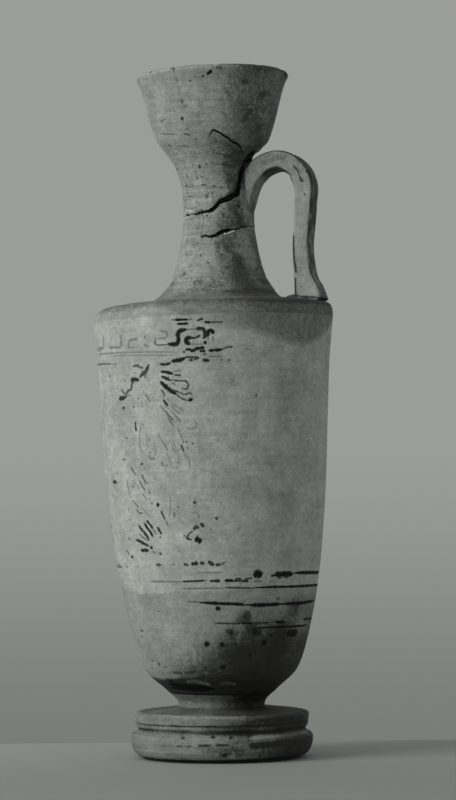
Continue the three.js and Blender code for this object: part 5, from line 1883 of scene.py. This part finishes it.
# %% Which piece wears what
FINISHES = {
    "slipped_body": pottery(
        "slipped clay of the body", clay=0.345, slip=0.445, glaze=0.037, core=0.25, soil=0.5,
        spotted=0.025, depth=0.00012, grain=620.0, contrast=1.2,
    ),
    "flat_shoulder": pottery(
        "soiled clay of the shoulder", clay=0.26, slip=0.36, glaze=0.06, core=0.25, soil=0.7,
        streaked=0.06,
    ),
    "two_degree_foot": pottery(
        "worn clay of the foot", clay=0.26, slip=0.3, glaze=0.025, grain=800.0, contrast=1.5,
        streaked=0.14,
    ),
    "stem_lute": pottery(
        "bare clay of the stem", clay=0.24, slip=0.3, glaze=0.025, spotted=0.08, grain=800.0,
        contrast=1.5, streaked=0.08,
    ),
    # Neck and mouth get a nearly black core grey: painted shade in the gaps between sherds and in the bore.
    "neck": pottery(
        "blotched clay of the neck", clay=0.34, slip=0.36, glaze=0.066, core=0.02, spotted=0.26,
        depth=0.00026, grain=850.0, contrast=2.2, streaked=0.16,
    ),
    "mouth": pottery(
        "cleaner clay of the mouth", clay=0.34, slip=0.36, glaze=0.066, core=0.02, spotted=0.1,
        grain=850.0, contrast=2.0, streaked=0.1,
    ),
    "strap_handle": pottery(
        "rubbed clay of the handle", clay=0.32, slip=0.36, glaze=0.045, soil=0.5, depth=0.00018,
        streaked=0.04,
    ),
    "lute": pottery(
        "slip of the lutes", clay=0.2, slip=0.3, glaze=0.03, soil=0.9, spotted=0.1, contrast=2.0,
    ),
    "paint": brush_paint(),
    "plaster": plain_filler("dry plaster", 0.52, 0.34, 0.95, 0.0003),
    "glue": plain_filler("old glue", 0.012, 0.022, 0.7, 0.0002),
}
WEARS = {
    "neck": ["lower_neck_sherd", "handle_root_sherd", "upper_neck_sherd"],
    "mouth": ["flaring_mouth", "rim_chip_sherd"],
    "lute": ["root_lute", "foot_pad_lute", "shoulder_lute", "neck_lute"],
    "paint": ["ruled_lines_and_key", "palmettes_and_tendrils", "soiled_nicks"],
    "plaster": ["plaster_filling", "plaster_crumbs"],
    "glue": ["main_break_glue", "lower_break_glue", "mouth_break_glue"],
}


def dress():
    """Gives every piece, and the two hidden lutes that stay plain solids, their finish."""
    for finish, material in FINISHES.items():
        for name in WEARS.get(finish, [finish]):
            mesh = (bpy.data.objects.get(name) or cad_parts[name]).data
            mesh.materials.clear()
            mesh.materials.append(material)
            print(name, "wears", material.name)


dress()

# %% [markdown]
# ## Table
# The jar stands near the back edge of a pale table. The table is staging and no part of the jar.

# %% Table
TABLE_BEHIND, TABLE_AHEAD, TABLE_HALF_WIDTH, EDGE_ROUND, EDGE_DROP = 0.088, 2.2, 1.6, 0.006, 0.05
TABLE_SHADE, TABLE_GREYS = (-0.06, 0.13), (0.36, 0.285)


def table_finish():
    """A pale grey with painted shade that darkens it towards the camera."""
    made, tree, shader = new_material("pale table")
    towards = {0: object_place(tree), 1: TOWARDS_CAMERA}
    towards = put(tree, "ShaderNodeVectorMath", towards, operation="DOT_PRODUCT").outputs["Value"]
    shade = mixed(tree, between(tree, towards, *TABLE_SHADE), *map(grey, TABLE_GREYS))
    tree.links.new(shade, shader.inputs["Base Color"])
    shader.inputs["Roughness"].default_value = 0.9
    return made


def table():
    """A flat sheet with a rounded back edge: depth and drop along an outline, carried sideways."""
    turn = np.linspace(0, np.pi / 2, 9)
    bend = TABLE_BEHIND - EDGE_ROUND + EDGE_ROUND * np.sin(turn)
    depth = np.concatenate([[-TABLE_AHEAD, 0], bend, [TABLE_BEHIND]])
    drop = np.concatenate([[0, 0], EDGE_ROUND * (1 - np.cos(turn)), [EDGE_DROP]])
    side = np.linspace(-TABLE_HALF_WIDTH, TABLE_HALF_WIDTH, 5)[:, None]
    right, ahead = np.array(TO_THE_RIGHT), np.array(TOWARDS_CAMERA)
    points = side[..., None] * right - depth[None, :, None] * ahead - drop[None, :, None] * [0, 0, 1]
    mesh = bpy.data.meshes.new("table_top")
    faces = grid_faces(*points.shape[:2], False, False)
    mesh.from_pydata(points.reshape(-1, 3).tolist(), [], faces.tolist())
    if mesh.polygons[0].normal.z < 0:
        mesh.flip_normals()
    mesh.materials.append(table_finish())
    top = placed("table_top", mesh)


table()
print("table edge", TABLE_BEHIND, "m behind the jar")

# %% [markdown]
# ## Light and camera
# One large soft lamp stands low at the left, the room gives an even fill, and the wall behind is only a
# shade in the world that the camera sees. The camera is the long lens of the view, and has the handle at
# its right.

# %% Light and camera
LAMP_BEARING, LAMP_HEIGHT, LAMP_DISTANCE = -135 * DEGREE, 24 * DEGREE, 1.45
LAMP_SIZE, LAMP_POWER, ROOM_LIGHT = 0.8, 13.0, 0.385
WALL_SHADE, WALL_GREYS = (-0.085, 0.025), (0.2, 0.338)


def room():
    """Even fill light; rays from the camera see a wall with painted shade, darker low down and paler
    upwards.
    """
    world = bpy.data.worlds.new("room")
    world.use_nodes = True
    bpy.context.scene.world = world
    tree = world.node_tree
    tree.nodes.clear()
    direction = put(tree, "ShaderNodeTexCoord", {}).outputs["Generated"]
    up = put(tree, "ShaderNodeSeparateXYZ", {0: direction}).outputs["Z"]
    wall = mixed(tree, between(tree, up, *WALL_SHADE), *map(grey, WALL_GREYS))
    rays = put(tree, "ShaderNodeLightPath", {}).outputs
    seen = maths(tree, "MAXIMUM", rays["Is Camera Ray"], rays["Is Glossy Ray"])
    white = (1.0, 1.0, 1.0, 1.0)
    fill = put(tree, "ShaderNodeBackground", {"Color": white, "Strength": ROOM_LIGHT}).outputs[0]
    shown = put(tree, "ShaderNodeBackground", {"Color": wall, "Strength": 1.0}).outputs[0]
    both = put(tree, "ShaderNodeMixShader", {0: seen, 1: fill, 2: shown}).outputs[0]
    put(tree, "ShaderNodeOutputWorld", {"Surface": both})


def lamp():
    """A square area lamp aimed at the middle of the jar."""
    light = bpy.data.lights.new("soft_lamp", "AREA")
    light.size, light.energy = LAMP_SIZE, LAMP_POWER
    thing = placed("soft_lamp", light)
    level = Vector((math.cos(LAMP_BEARING), math.sin(LAMP_BEARING), 0)) * math.cos(LAMP_HEIGHT)
    away = level + Vector((0, 0, math.sin(LAMP_HEIGHT)))
    thing.location = Vector((0, 0, AIM_HEIGHT)) + away * LAMP_DISTANCE
    thing.rotation_euler = away.to_track_quat("Z", "Y").to_euler()


def camera():
    """A long lens at the picture's place, with a slight roll."""
    lens = bpy.data.cameras.new("long_lens")
    lens.lens, lens.sensor_width = LENS, SENSOR
    thing = placed("long_lens", lens)
    thing.location = CAMERA_PLACE
    thing.rotation_euler = CAMERA_TURN.to_euler()
    bpy.context.scene.camera = thing


room()
lamp()
camera()
bpy.context.scene.view_settings.view_transform = "Standard"
print("camera", CAMERA_DISTANCE, "m away")
